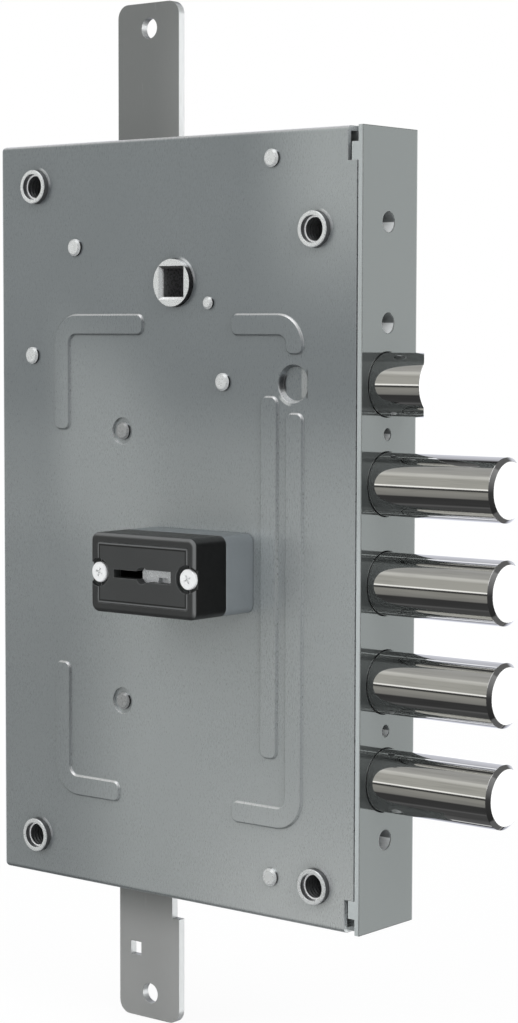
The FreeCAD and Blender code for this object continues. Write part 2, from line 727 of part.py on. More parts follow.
def beads():
    """The five beads of the cover."""
    straight = [
        (S.StraightBeadX - S.BeadWidth, S.StraightBeadBottom),
        (S.StraightBeadX, S.StraightBeadBottom),
        (S.StraightBeadX, S.StraightBeadTop),
        (S.StraightBeadX - S.BeadWidth, S.StraightBeadTop),
    ]
    upper = S.UpperBeadTop
    lower = S.LowerBeadBottom
    left = S.LeftBeadInset - S.CaseWidth
    upper_left = l_corners(left, upper, left + S.UpperLeftReach, upper - S.UpperLeftDrop)
    upper_right = l_corners(S.RightBeadX, upper, S.UpperRightEndX, upper - S.UpperRightDrop)
    lower_left = l_corners(left, lower, left + S.LowerLeftReach, lower + S.LowerLeftRise)
    lower_right = l_corners(S.RightBeadX, lower, S.LowerRightEndX, lower + S.LowerRightRise)
    return [
        bead("bead_upper_left", upper_left),
        bead("bead_upper_right", upper_right),
        bead("bead_lower_left", lower_left),
        bead("bead_lower_right", lower_right),
        bead("bead_straight", straight),
    ]


def cover_tray():
    """The folded tray of the cover, with its corner notches and rod slots."""
    body = new_body("cover_tray")
    outline = front_sketch(body, "tray_outline", FRONT)
    rectangle(outline, (-S.CaseWidth, COVER_RIGHT), (-HALF, HALF))
    pad(body, outline, "tray_pad", S.CaseDepth - S.CaseSheet, reverse=True)
    round_edges(body, "tray_side_bend", "z", [(-S.CaseWidth, FRONT)], S.CoverBend)
    round_edges(body, "tray_end_bends", "x", [(FRONT, HALF), (FRONT, -HALF)], S.CoverBend)
    inside = front_sketch(body, "tray_inside", INNER_FRONT)
    wall = S.CoverSheet
    rectangle(inside, (-S.CaseWidth + wall, COVER_RIGHT + PAST), (-HALF + wall, HALF - wall))
    pocket(body, inside, "tray_hollow", S.CaseDepth)
    notches = front_sketch(body, "tray_notches", FRONT)
    notch = HALF - S.NotchHeight
    rectangle(notches, (-S.NotchWidth, COVER_RIGHT + PAST), (notch, HALF + PAST))
    rectangle(notches, (-S.NotchWidth, COVER_RIGHT + PAST), (-HALF - PAST, -notch))
    pocket(body, notches, "tray_notch_cut", S.NotchDepth)
    slots = new_sketch(body, "rod_slots", "XY_Plane")
    across = (S.RodLeft - S.RunGap, ROD_RIGHT + S.RunGap)
    rectangle(slots, across, (-S.RunGap, S.RodSheet + S.RunGap))
    pocket(body, slots, "rod_slot_cut", S.CaseHeight + PAST, both=True)
    return body


def front_cover():
    """Cover with beads, dimple, sunk rivet seats and the holes for what passes through."""
    solids = [cover_tray()] + beads()
    lip = S.CoverSheet
    dimple_seat = (S.DimpleX, INNER_FRONT, S.DimpleHeight)
    solids.append(cylinder("dimple_back", "y", dimple_seat, S.DimpleRadius, S.DimpleBulge))
    for side, height in GEARS:
        seat = (S.GearX, INNER_FRONT, height)
        reach = S.RecessRadius + lip / 2
        solids.append(cylinder(side + "_recess_back", "y", seat, reach, S.RecessDepth))
    whole_cover = joined("cover_solid", solids)
    deep = S.CoverSheet * 2
    tools = []
    dimple = (S.DimpleX, FRONT, S.DimpleHeight)
    tools.append(cone("dimple", "y", dimple, S.DimpleRadius, S.DimpleFloor, S.DimpleDepth))
    for side, height in GEARS:
        spot = (S.GearX, FRONT, height)
        tools.append(cylinder(side + "_recess", "y", spot, S.RecessRadius, S.RecessDepth))
        tools.append(cylinder(side + "_axle_hole", "y", spot, S.RivetRadius, deep))
    for name, x, height in BUSH_CENTRES:
        tools.append(cylinder(name + "Hole", "y", (x, FRONT, height), S.BushRadius, deep))
    small = POST_CENTRES + [GUIDE_POST, STOP_POST]
    for index, (x, height) in enumerate(small):
        tools.append(cylinder(f"rivet_hole_{index}", "y", (x, FRONT, height), S.RivetRadius, deep))
    hub = (S.HandleX, FRONT, S.HandleHeight)
    tools.append(cylinder("hub_hole", "y", hub, S.HandleRing + S.FitGap, deep))
    window = block("core_window", CORE_X, (FRONT, FRONT + deep), CORE_Z, S.CoreCorner)
    tools.append(window)
    finish(cut("front_cover_cut", whole_cover, tools), "front_cover")


def fixing_bushes():
    """Four threaded sleeves, riveted in the back plate and proud of the cover."""
    face = FRONT - S.BushProud
    for name, x, height in BUSH_CENTRES:
        profile = [
            (S.BushBore, BACK),
            (S.BushBore, face + S.BushCounterDepth),
            (S.BushCounter, face + S.BushCounterDepth),
            (S.BushCounter, face),
            (S.BushRadius, face),
            (S.BushRadius, INNER_BACK),
            (S.BushTail, INNER_BACK),
            (S.BushTail, BACK),
        ]
        finish(turned(name, x, height, profile), NODE_OF_BUSH[name])


def riveted_post(name, x, height, radius, head):
    """A post between the plates, riveted through the cover with a crowned head."""
    profile = [
        (0, FRONT - S.HeadProud),
        (head - S.HeadCrown, FRONT - S.HeadProud),
        (head, FRONT - S.HeadProud + S.HeadCrown),
        (head, FRONT),
        (S.RivetRadius, FRONT),
        (S.RivetRadius, INNER_FRONT),
        (radius, INNER_FRONT),
        (radius, INNER_BACK),
        (S.TailRivet, INNER_BACK),
        (S.TailRivet, BACK),
        (0, BACK),
    ]
    return turned(name, x, height, profile)


def posts():
    """The spacer posts, the latch tail's guide post and the follower's stop post."""
    spacers = []
    for (name, _, _), (x, height) in zip(POSTS, POST_CENTRES):
        spacers.append(riveted_post(name, x, height, S.PostRadius, S.HeadRadius))
    together = doc.addObject("Part::Compound", "spacer_posts")
    together.Links = spacers
    finish(together, "cover_posts")
    guide = riveted_post("guide_post", *GUIDE_POST, S.GuidePostRadius, S.HeadRadius)
    finish(guide, "latch_guide_post")
    stop = riveted_post("stop_post", *STOP_POST, S.StopPostRadius, S.StopHead)
    finish(stop, "follower_stop_post")


def gear_axles():
    """Axles of the rod gears, each with a flange that keeps the rod on the pinion."""
    flange = -(S.RunGap + S.AxleSheet)
    floor = FRONT + S.RecessDepth
    shoulder = INNER_FRONT + S.RecessDepth
    for side, height in GEARS:
        profile = [
            (0, floor - S.HeadProud),
            (S.HeadRadius - S.HeadCrown, floor - S.HeadProud),
            (S.HeadRadius, floor - S.HeadProud + S.HeadCrown),
            (S.HeadRadius, floor),
            (S.RivetRadius, floor),
            (S.RivetRadius, shoulder),
            (S.RecessRadius, shoulder),
            (S.RecessRadius, flange),
            (S.AxleFlange, flange),
            (S.AxleFlange, flange + S.AxleSheet),
            (S.AxleRadius, flange + S.AxleSheet),
            (S.AxleRadius, INNER_BACK),
            (S.TailRivet, INNER_BACK),
            (S.TailRivet, BACK),
            (0, BACK),
        ]
        finish(turned(side + "_axle", S.GearX, height, profile), side + "_gear_axle")


def guide_studs():
    """Two studs on the back plate that run in the carriage's slots."""
    studs = []
    head = S.CarriageFront - S.RunGap
    for side, height in (("upper", S.UpperStudHeight), ("lower", S.LowerStudHeight)):
        profile = [
            (0, head - S.StudHeadSheet),
            (S.StudHead, head - S.StudHeadSheet),
            (S.StudHead, head),
            (S.StudRadius, head),
            (S.StudRadius, INNER_BACK),
            (S.TailRivet, INNER_BACK),
            (S.TailRivet, BACK),
            (0, BACK),
        ]
        studs.append(turned(side + "_stud", S.StudX, height, profile))
    together = doc.addObject("Part::Compound", "guide_stud_pair")
    together.Links = studs
    finish(together, "carriage_guide_studs")


def round_bolts():
    """Bolts with a chamfered end and a flat tail on the carriage."""
    stop = -(S.BoltShoulder + S.BoltTail)
    for number, height in enumerate(BOLT_HEIGHTS, start=1):
        name = f"bolt_{number}"
        length = S.BoltReach - stop - S.BoltChamfer
        bar = cylinder(name + "_bar", "x", (stop, 0, height), S.BoltRadius, length)
        tip = (S.BoltReach - S.BoltChamfer, 0, height)
        end = cone(name + "_end", "x", tip, S.BoltRadius, S.BoltRadius - S.BoltChamfer, S.BoltChamfer)
        across = (stop - PAST, -S.BoltShoulder)
        tall = (height - S.BoltRadius - PAST, height + S.BoltRadius + PAST)
        before = box(name + "_front", across, (-S.BoltRadius - PAST, S.TailFront), tall)
        behind = box(name + "_back", across, (S.TailBack, S.BoltRadius + PAST), tall)
        seat = (-S.BoltShoulder - S.BoltTail / 2, S.TailFront - PAST, height)
        hole = cylinder(name + "_hole", "y", seat, S.TailScrewRadius, S.BoltRadius)
        blank = joined(name + "_blank", [bar, end])
        finish(cut(name + "_cut", blank, [before, behind, hole]), name)


def bolt_screws():
    """Countersunk screws from the back of the carriage into the bolts' tails."""
    screws = []
    x = -S.BoltShoulder - S.BoltTail / 2
    sink = S.TailScrewHead - S.TailScrewRadius
    for number, height in enumerate(BOLT_HEIGHTS, start=1):
        profile = [
            (0, S.TailFront),
            (S.TailScrewRadius, S.TailFront),
            (S.TailScrewRadius, CARRIAGE_BACK - sink),
            (S.TailScrewHead, CARRIAGE_BACK),
            (0, CARRIAGE_BACK),
        ]
        screws.append(turned(f"bolt_screw_{number}", x, height, profile))
    together = doc.addObject("Part::Compound", "bolt_screw_set")
    together.Links = screws
    finish(together, "bolt_screws")


def rack_tooth(sketch, along, line, upright, outward):
    """One straight-flanked rack tooth about a point on the pitch line."""
    slope = math.tan(math.radians(S.PressureAngle.value))
    half = PITCH / 4 - S.ToothPlay / 4
    tip = half - S.RackTip * slope
    foot = half + S.RackRoot * slope
    base = S.RackRoot + S.RackRoot
    outline = [(-foot, -base), (foot, -base), (foot, -S.RackRoot), (tip, S.RackTip)]
    outline += [(-tip, S.RackTip), (-foot, -S.RackRoot)]
    corners = []
    for side, rise in outline:
        if upright:
            corners.append((along + side, line + outward * rise))
        else:
            corners.append((line + outward * rise, along + side))
    polygon(sketch, corners)


def carriage():
    """Plate that carries the bolts, racked on both long edges, with the key window."""
    upper_line = S.UpperGearHeight - GEAR_PITCH_RADIUS
    lower_line = S.LowerGearHeight + GEAR_PITCH_RADIUS
    top = upper_line - S.RackRoot
    bottom = lower_line + S.RackRoot
    first_tooth = S.GearX - PITCH * 2
    left = first_tooth - PITCH * 0.55
    right = -S.BoltShoulder
    bar = right - S.BarWidth
    bar_top = BOLT_HEIGHTS[0] + S.BarEnd
    bar_bottom = BOLT_HEIGHTS[-1] - S.BarEnd
    body = new_body("carriage")
    outline = front_sketch(body, "carriage_outline", S.CarriageFront)
    corners = [(left, bottom), (bar, bottom), (bar, bar_bottom), (right, bar_bottom)]
    corners += [(right, bar_top), (bar, bar_top), (bar, top), (left, top)]
    polygon(outline, corners)
    pad(body, outline, "carriage_pad", S.CarriageSheet, reverse=True)
    seat = front_sketch(body, "carriage_seat", S.TailBack)
    rectangle(seat, (right - S.BoltTail, right), (bar_bottom, bar_top))
    pad(body, seat, "carriage_seat_pad", S.CarriageFront - S.TailBack, reverse=True)
    window = front_sketch(body, "key_window", S.CarriageFront)
    middle = S.CoreHeight
    tall = (middle - S.KeyWindowHalf, middle + S.KeyWindowHalf)
    rectangle(window, (S.KeyWindowLeft, bar), tall)
    pocket(body, window, "key_window_cut", S.CarriageSheet)
    step = S.BoltTravel / S.DriveCount
    start = S.CoreX + step / 2
    notch = front_sketch(body, "drive_notch", S.CarriageFront)
    across = (start - S.DriveNotch / 2, start + S.DriveNotch / 2)
    rectangle(notch, across, (middle, middle + S.NotchRadius))
    first = pocket(body, notch, "drive_notch_cut", S.CarriageSheet)
    reach = S.BoltTravel - step
    row_of(body, first, notch, "H_Axis", "drive_notches", reach, S.DriveCount)
    slots = front_sketch(body, "guide_slots", S.CarriageFront)
    play = S.StudRadius + S.RunGap
    for height in (S.UpperStudHeight, S.LowerStudHeight):
        ends = (S.StudX - play, S.StudX + S.BoltTravel + play)
        rectangle(slots, ends, (height - play, height + play))
    pocket(body, slots, "guide_slot_cut", S.CarriageSheet)
    holes = front_sketch(body, "carriage_screw_holes", S.TailBack)
    for height in BOLT_HEIGHTS:
        circle(holes, right - S.BoltTail / 2, height, S.TailScrewRadius)
    pocket(body, holes, "carriage_screw_cut", CARRIAGE_BACK - S.TailBack)
    count = whole(S.BoltTravel / PITCH) + 6
    for name, line, outward in (("upper", upper_line, 1), ("lower", lower_line, -1)):
        tooth = front_sketch(body, name + "_rack_tooth", S.CarriageFront)
        rack_tooth(tooth, first_tooth, line, True, outward)
        one = pad(body, tooth, name + "_tooth", S.CarriageSheet, reverse=True)
        doc.recompute()
        row_of(body, one, tooth, "H_Axis", name + "_rack", PITCH * (count - 1), count)
        doc.recompute()
    sink = S.TailScrewHead - S.TailScrewRadius
    heads = []
    for number, height in enumerate(BOLT_HEIGHTS, start=1):
        spot = (right - S.BoltTail / 2, CARRIAGE_BACK - sink, height)
        heads.append(cone(f"screw_seat_{number}", "y", spot, S.TailScrewRadius, S.TailScrewHead, sink))
    finish(cut("carriage_cut", body, heads), "carriage_plate")
    half = S.StumpWidth / 2
    tall = S.StumpTall / 2
    stump = box(
        "stump",
        (S.StumpX - half, S.StumpX + half),
        (S.StumpFront, S.CarriageFront),
        (S.StumpHeight - tall, S.StumpHeight + tall),
    )
    finish(stump, "deadlock_stump")


def toothed_disc(name, teeth, gap_angle, height, y):
    """A spur gear with involute flanks and one gap centred at an angle from +X."""
    module = S.Module.value
    pressure = math.radians(S.PressureAngle.value)
    pitch_radius = module * teeth / 2
    base_radius = pitch_radius * math.cos(pressure)
    root_radius = pitch_radius - S.GearRoot.value
    tip_radius = pitch_radius + S.GearTip.value
    half_tooth = math.pi / (2 * teeth) - S.ToothPlay.value / (4 * pitch_radius)

    def involute(angle):
        return math.tan(angle) - angle

    def tooth_angle(radius):
        inner = max(radius, base_radius)
        turn = involute(math.acos(base_radius / inner))
        return half_tooth + involute(pressure) - turn

    low = max(base_radius, root_radius)
    flank = [low + (tip_radius - low) * share for share in (0, 0.4, 0.75, 1)]
    radii = ([root_radius] if root_radius < base_radius else []) + flank
    points = []
    for index in range(teeth):
        middle = math.radians(gap_angle) + math.pi / teeth + 2 * math.pi * index / teeth
        for radius in radii:
            points.append((radius, middle - tooth_angle(radius)))
        for radius in reversed(radii):
            points.append((radius, middle + tooth_angle(radius)))
    depth = float(sized(y[0]))
    corners = [
        FreeCAD.Vector(radius * math.cos(angle), depth, radius * math.sin(angle))
        for radius, angle in points
    ]
    face = Part.Face(Part.makePolygon(corners + corners[:1]))
    disc = doc.addObject("Part::Feature", name)
    disc.Shape = face.extrude(FreeCAD.Vector(0, float(sized(y[1] - y[0])), 0))
    place(disc, S.GearX, 0, height)
    return disc


def rod_gears():
    """Step gears: the large step meets the carriage, the small one the rod."""
    hub_front = S.RodSheet + S.RunGap / 2
    for side, height in GEARS:
        toward_rack = -90 if side == "upper" else 90
        large = toothed_disc(
            side + "_large", int(S.GearTeeth.value), toward_rack, height, (S.CarriageFront, CARRIAGE_BACK)
        )
        small = toothed_disc(
            side + "_small", int(S.PinionTeeth.value), 0, height, (-S.RunGap / 2, hub_front)
        )
        start = (S.GearX, hub_front, height)
        hub = cylinder(side + "_hub", "y", start, S.GearHub, S.CarriageFront - hub_front)
        foot = (S.GearX, CARRIAGE_BACK, height)
        boss = cylinder(side + "_boss", "y", foot, S.RecessRadius, INNER_BACK - CARRIAGE_BACK - S.FitGap)
        wheel = joined(side + "_wheel", [large, small, hub, boss])
        bore = cylinder(
            side + "_bore", "y", (S.GearX, -PAST, height), S.GearBore, INNER_BACK + PAST
        )
        finish(cut(side + "_gear_cut", wheel, [bore]), side + "_gear")


def rod(side, gear_height, end, hole, rise):
    """A flat rod with a racked window round its pinion; rise is 1 upwards, -1 downwards."""
    tip_radius = PINION_PITCH_RADIUS + S.GearTip + S.RodWindowPlay
    near = gear_height - rise * tip_radius
    far = gear_height + rise * (ROD_TRAVEL + tip_radius)
    inner = near - rise * S.RodWindowEnd
    body = new_body(side + "_rod_body")
    outline = front_sketch(body, side + "_rod_outline", 0)
    corners = [(S.RodLeft, inner), (ROD_RIGHT, inner)]
    if side == "bottom":
        neck = ROD_RIGHT - S.RodNeck
        neck_top = S.RodNeckInside - HALF
        neck_bottom = -HALF - S.RodNeckOutside
        corners += [(ROD_RIGHT, neck_top), (neck, neck_top)]
        corners += [(neck, neck_bottom), (ROD_RIGHT, neck_bottom)]
    corners += [(ROD_RIGHT, end), (S.RodLeft, end)]
    polygon(outline, corners)
    pad(body, outline, side + "_rod_pad", S.RodSheet, reverse=True)
    round_edges(body, side + "_rod_ends", "y", [(S.RodLeft, end), (ROD_RIGHT, end)], S.RodCorner)
    line = S.GearX + PINION_PITCH_RADIUS
    holes = front_sketch(body, side + "_rod_holes", 0)
    rectangle(holes, (S.RodLeft + S.RodWindowWall, line + S.RackRoot), (near, far))
    circle(holes, S.RodHoleX, hole, S.RodHoleRadius)
    if side == "bottom":
        half = S.RodSquare / 2
        across = (S.RodSquareX - half, S.RodSquareX + half)
        middle = -HALF - S.RodSquareDrop
        rectangle(holes, across, (middle - half, middle + half))
    pocket(body, holes, side + "_rod_cut", S.RodSheet)
    tooth = front_sketch(body, side + "_rod_tooth", 0)
    lowest = gear_height - rise * PITCH * 2
    count = whole(ROD_TRAVEL / PITCH) + 5
    if rise < 0:
        lowest = lowest - PITCH * (count - 1)
    rack_tooth(tooth, lowest, line, False, -1)
    one = pad(body, tooth, side + "_tooth", S.RodSheet, reverse=True)
    doc.recompute()
    row_of(body, one, tooth, "V_Axis", side + "_rack", PITCH * (count - 1), count)
    finish(body, side + "_rod")


def latch():
    """Bevelled latch, its tail plate round the guide post, drive pin, spring and bracket."""
    rear = S.LatchReach - S.LatchLength
    radius = S.BoltRadius
    bar = cylinder("latch_bar", "x", (rear, 0, S.LatchHeight), radius, S.LatchLength)
    wedge = new_body("latch_bevel")
    place(wedge, 0, 0, S.LatchHeight - radius - PAST)
    side = new_sketch(wedge, "latch_bevel_side", "XY_Plane")
    nose = -radius + S.LatchNose
    slope_y = radius * 2 - S.LatchNose
    rise = S.LatchBevel / slope_y
    far = S.LatchBevel + rise * PAST
    over = S.LatchReach + rise * PAST
    corners = [(over, nose - PAST), (S.LatchReach - far, radius + PAST), (over, radius + PAST)]
    polygon(side, corners)
    pad(wedge, side, "latch_bevel_pad", radius * 2 + PAST * 2)
    seat = S.SpringRadius + S.RunGap
    start = (rear, S.SpringDepth, S.LatchHeight)
    pit = cylinder("latch_spring_seat", "x", start, seat, S.BracketSheet)
    tail_slot = box(
        "latch_tail_slot",
        (rear, rear + S.BracketSheet),
        (S.TailPlateFront, S.TailPlateBack),
        (S.TailPlateLow, S.TailPlateHigh),
    )
    finish(cut("latch_bolt_cut", bar, [wedge, pit, tail_slot]), "latch_bolt")

    pin_x = S.HandleX - S.ArmHalf - S.DrivePinRadius - S.RunGap
    left = pin_x - S.DrivePinRadius * 2
    body = new_body("latch_tail_body")
    outline = front_sketch(body, "latch_tail_outline", S.TailPlateFront)
    rectangle(outline, (left, rear + S.BracketSheet), (S.TailPlateLow, S.TailPlateHigh))
    thick = S.TailPlateBack - S.TailPlateFront
    pad(body, outline, "latch_tail_pad", thick, reverse=True)
    play = S.GuidePostRadius + S.RunGap
    openings = front_sketch(body, "latch_tail_openings", S.TailPlateFront)
    across = (S.GuidePostX - play, S.GuidePostX + S.LatchTravel + play)
    rectangle(openings, across, (S.GuidePostHeight - play, S.GuidePostHeight + play))
    circle(openings, pin_x, PIN_HEIGHT, S.RivetRadius)
    pocket(body, openings, "latch_tail_cut", thick)
    finish(body, "latch_tail")

    profile = [
        (0, S.ArmFront),
        (S.DrivePinRadius, S.ArmFront),
        (S.DrivePinRadius, S.TailPlateFront),
        (S.RivetRadius, S.TailPlateFront),
        (S.RivetRadius, S.TailPlateBack),
        (0, S.TailPlateBack),
    ]
    finish(turned("drive_pin", pin_x, PIN_HEIGHT, profile), "latch_drive_pin")

    length = rear + S.BracketSheet - S.BracketX
    foot = (S.BracketX, S.SpringDepth, S.LatchHeight)
    coil = cylinder("spring_outer", "x", foot, S.SpringRadius, length)
    inner = cylinder("spring_inner", "x", foot, S.SpringRadius - S.SpringWire, length)
    finish(cut("spring_tube", coil, [inner]), "latch_spring")
    half = S.SpringRadius + S.BracketSheet
    bracket = box(
        "bracket",
        (S.BracketX - S.BracketSheet, S.BracketX),
        (S.RunGap, INNER_BACK),
        (S.LatchHeight - half, S.LatchHeight + half),
    )
    finish(bracket, "latch_spring_bracket")


def follower():
    """Handle hub with its square hole, an arm that draws the latch and a horn that stops it."""
    face = FRONT - S.HandleProud
    front_step = INNER_FRONT + S.RunGap
    back_step = INNER_BACK - S.RunGap
    profile = [
        (0, face),
        (S.HandleRing, face),
        (S.HandleRing, front_step),
        (S.HandleBody, front_step),
        (S.HandleBody, back_step),
        (S.HandleRing, back_step),
        (S.HandleRing, BACK),
        (0, BACK),
    ]
    hub = turned("follower_hub", S.HandleX, S.HandleHeight, profile)
    arm = new_body("follower_arm")
    place(arm, S.HandleX, 0, S.HandleHeight)
    outline = front_sketch(arm, "arm_outline", S.ArmFront)
    length = S.HandleHeight - PIN_HEIGHT + S.ArmPast
    rectangle(outline, (-S.ArmHalf, S.ArmHalf), (-length, 0))
    thick = S.ArmBack - S.ArmFront
    pad(arm, outline, "arm_pad", thick, reverse=True)
    tip = [(-S.ArmHalf, -length), (S.ArmHalf, -length)]
    round_edges(arm, "arm_tip", "y", tip, S.ArmHalf * 0.6)
    horn = new_body("follower_horn")
    place(horn, S.HandleX, 0, S.HandleHeight)
    reach = root(S.HornX * S.HornX + S.HornDrop * S.HornDrop)
    aside = S.ArmHalf * S.HornDrop / reach
    above = S.ArmHalf * S.HornX / reach
    side = front_sketch(horn, "horn_outline", S.ArmFront)
    corners = [(aside, above), (S.HornX + aside, above - S.HornDrop)]
    corners += [(S.HornX - aside, -S.HornDrop - above), (-aside, -above)]
    polygon(side, corners)
    pad(horn, side, "horn_pad", thick, reverse=True)
    solid = joined("follower_solid", [hub, arm, horn])
    half = S.HandleSquare / 2
    through = box(
        "spindle_hole",
        (S.HandleX - half, S.HandleX + half),
        (face - PAST, BACK + PAST),
        (S.HandleHeight - half, S.HandleHeight + half),
    )
    leads = []
    for name, depth, near, far in (
        ("front_lead", face, half + S.HandleLead, half),
        ("back_lead", BACK - S.HandleLead, half, half + S.HandleLead),
    ):
        lead = doc.addObject("Part::Wedge", name)
        place(lead, S.HandleX, depth, S.HandleHeight)
        bind(lead, "Ymin", 0)
        bind(lead, "Ymax", S.HandleLead)
        bind(lead, "Xmin", -near)
        bind(lead, "Xmax", near)
        bind(lead, "Zmin", -near)
        bind(lead, "Zmax", near)
        bind(lead, "X2min", -far)
        bind(lead, "X2max", far)
        bind(lead, "Z2min", -far)
        bind(lead, "Z2max", far)
        leads.append(lead)
    finish(cut("follower_cut", solid, [through] + leads), "handle_follower")


def core_screw_pair(name, head, top):
    """Two headed bars on the core screws' axes, from the head's radius and its front."""
    seat = CORE_FRONT + S.CoreCounterDepth
    end = CORE_FRONT + S.CoreScrewLength
    profile = [
        (0, top),
        (head, top),
        (head, seat),
        (S.CoreScrewRadius, seat),
        (S.CoreScrewRadius, end),
        (0, end),
    ]
    return [
        turned(f"{name}_{index}", S.CoreX + side * S.CoreScrewX, S.CoreHeight, profile)
        for index, side in enumerate((-1, 1))
    ]


def screw_holes(name):
    """Counterbore and hole of both core screws as cutting tools."""
    return core_screw_pair(name, S.CoreCounter, CORE_FRONT - PAST)


def keyhole(name, y):
    """Keyhole outline through a piece: a thin left half, a thick right one, a round middle."""
    middle = S.CoreX
    left = box(
        name + "_thin",
        (middle - S.KeyWidth / 2, middle),
        y,
        (S.CoreHeight - S.KeyThin / 2, S.CoreHeight + S.KeyThin / 2),
    )
    right = box(
        name + "_thick",
        (middle, middle + S.KeyWidth / 2),
        y,
        (S.CoreHeight - S.KeyThick / 2, S.CoreHeight + S.KeyThick / 2),
    )
    centre = cylinder(name + "_round", "y", (middle, y[0], S.CoreHeight), S.KeyRound, y[1] - y[0])
    return [left, right, centre]


def core():
    """Key core in front of the cover: housing, cap, face plate, guard, shutter, screws."""
    whole_length = (CAP_BACK - PAST, INNER_FRONT + S.FlangeSheet + PAST)
    solid = block("housing_block", CORE_X, (CAP_BACK, INNER_FRONT), CORE_Z, S.CoreCorner)
    flange = box(
        "housing_flange",
        (CORE_X[0] - S.FlangeOver, S.FlangeRight),
        (INNER_FRONT, INNER_FRONT + S.FlangeSheet),
        (CORE_Z[0] - S.FlangeOver, S.FlangeTop),
    )
    spare = S.LeverCount * (S.LeverSheet + S.LeverGap)
    lever_back = S.LeverFront + spare
    lip = box(
        "spring_bar",
        (S.CoreX - S.RotorRadius * 2, S.CoreX + S.RotorRadius * 2),
        (INNER_FRONT + S.FlangeSheet, lever_back),
        (S.LeverHigh + S.LeafRadius, S.FlangeTop),
    )
    base = joined("housing_solid", [solid, flange, lip])
    centre = (S.CoreX, CAP_BACK - PAST, S.CoreHeight)
    tunnel = cylinder(
        "rotor_tunnel", "y", centre, S.RotorRadius + S.FitGap, whole_length[1] - whole_length[0]
    )
    entry = keyhole("housing_keyhole", whole_length)
    tools = [tunnel] + entry + screw_holes("housing_screw_hole")
    finish(cut("housing_cut", base, tools), "core_housing")

    cap = block("cap_block", CORE_X, (CORE_FRONT, CAP_BACK), CORE_Z, S.CoreCorner)
    doc.recompute()
    solid = cap.Tip
    rim = cap.newObject("PartDesign::Fillet", "cap_rim")
    rim.Base = (solid, faces_at(solid.Shape, float(CORE_FRONT)))
    bind(rim, "Radius", S.CapEdge)
    cap.Tip = rim
    face_x = (S.CoreX - S.FaceWidth / 2, S.CoreX + S.FaceWidth / 2)
    face_z = (S.CoreHeight - S.FaceTall / 2, S.CoreHeight + S.FaceTall / 2)
    hollow = block("cap_hollow", face_x, (CORE_FRONT - PAST, CAP_BACK + PAST), face_z, S.FaceCorner)
    shutter_x = (S.CoreX - S.KeyRound, S.CoreX - S.KeyRound + S.ShutterWidth)
    shutter_z = (S.CoreHeight - S.ShutterTall / 2, S.CoreHeight + S.ShutterTall / 2)
    shutter_front = CORE_FRONT + S.FaceSheet + S.FitGap
    shutter_middle = shutter_front + S.ShutterSheet / 2
    spring_x = (shutter_x[0] + shutter_x[1]) / 2
    mouth = (spring_x, shutter_middle, face_z[1] - PAST)
    well = cylinder("spring_well", "z", mouth, S.ShutterSpring + S.FitGap, PAST + S.SpringWell)
    finish(cut("cap_cut", cap, [hollow, well] + screw_holes("cap_screw_hole")), "core_cover")

    gap = S.FitGap
    seat_x = (face_x[0] + gap, face_x[1] - gap)
    seat_z = (face_z[0] + gap, face_z[1] - gap)
    face_back = CORE_FRONT + S.FaceSheet
    plate = block("face_block", seat_x, (CORE_FRONT, face_back), seat_z, S.FaceCorner)
    face_tools = keyhole("face_keyhole", (CORE_FRONT - PAST, face_back + PAST))
    face_tools += screw_holes("face_screw_hole")
    finish(cut("face_cut", plate, face_tools), "core_face_plate")

    guard = block("guard_block", seat_x, (face_back, CAP_BACK), seat_z, S.FaceCorner)
    room = box(
        "shutter_room",
        (shutter_x[0] - gap, shutter_x[1] + gap),
        (face_back - PAST, shutter_front + S.ShutterSheet + gap),
        (shutter_z[0] - gap, face_z[1] + PAST),
    )
    guard_tools = [room] + keyhole("guard_keyhole", (face_back - PAST, CAP_BACK + PAST))
    guard_tools += screw_holes("guard_screw_hole")
    finish(cut("guard_cut", guard, guard_tools), "drill_guard")

    slider = (shutter_front, shutter_front + S.ShutterSheet)
    finish(box("shutter", shutter_x, slider, shutter_z), "key_shutter")
    foot = (spring_x, shutter_middle, shutter_z[1])
    length = face_z[1] + S.SpringWell - shutter_z[1]
    finish(cylinder("shutter_coil", "z", foot, S.ShutterSpring, length), "shutter_spring")

    screws = doc.addObject("Part::Compound", "core_screw_set")
    screws.Links = core_screw_pair("core_screw", S.CoreScrewHead, CORE_FRONT + S.CoreScrewSink)
    finish(screws, "core_screws")


def rotor():
    """Slotted sleeve that the key turns, from the housing to the back plate."""
    profile = [
        (0, CAP_BACK + S.FitGap),
        (S.RotorRadius, CAP_BACK + S.FitGap),
        (S.RotorRadius, INNER_BACK - S.FitGap),
        (S.RotorJournal, INNER_BACK - S.FitGap),
        (S.RotorJournal, BACK),
        (0, BACK),
    ]
    sleeve = turned("rotor_sleeve", S.CoreX, S.CoreHeight, profile)
    start = (S.CoreX, CAP_BACK, S.CoreHeight)
    bore = cylinder("rotor_bore", "y", start, S.RotorBore, S.RotorSlotEnd - CAP_BACK)
    half = S.RotorSlot / 2
    slot = box(
        "rotor_slot",
        (S.CoreX - S.RotorRadius - PAST, S.CoreX + S.RotorRadius + PAST),
        (CAP_BACK, S.RotorSlotEnd),
        (S.CoreHeight - half, S.CoreHeight + half),
    )
    finish(cut("rotor_cut", sleeve, [bore, slot]), "key_rotor")


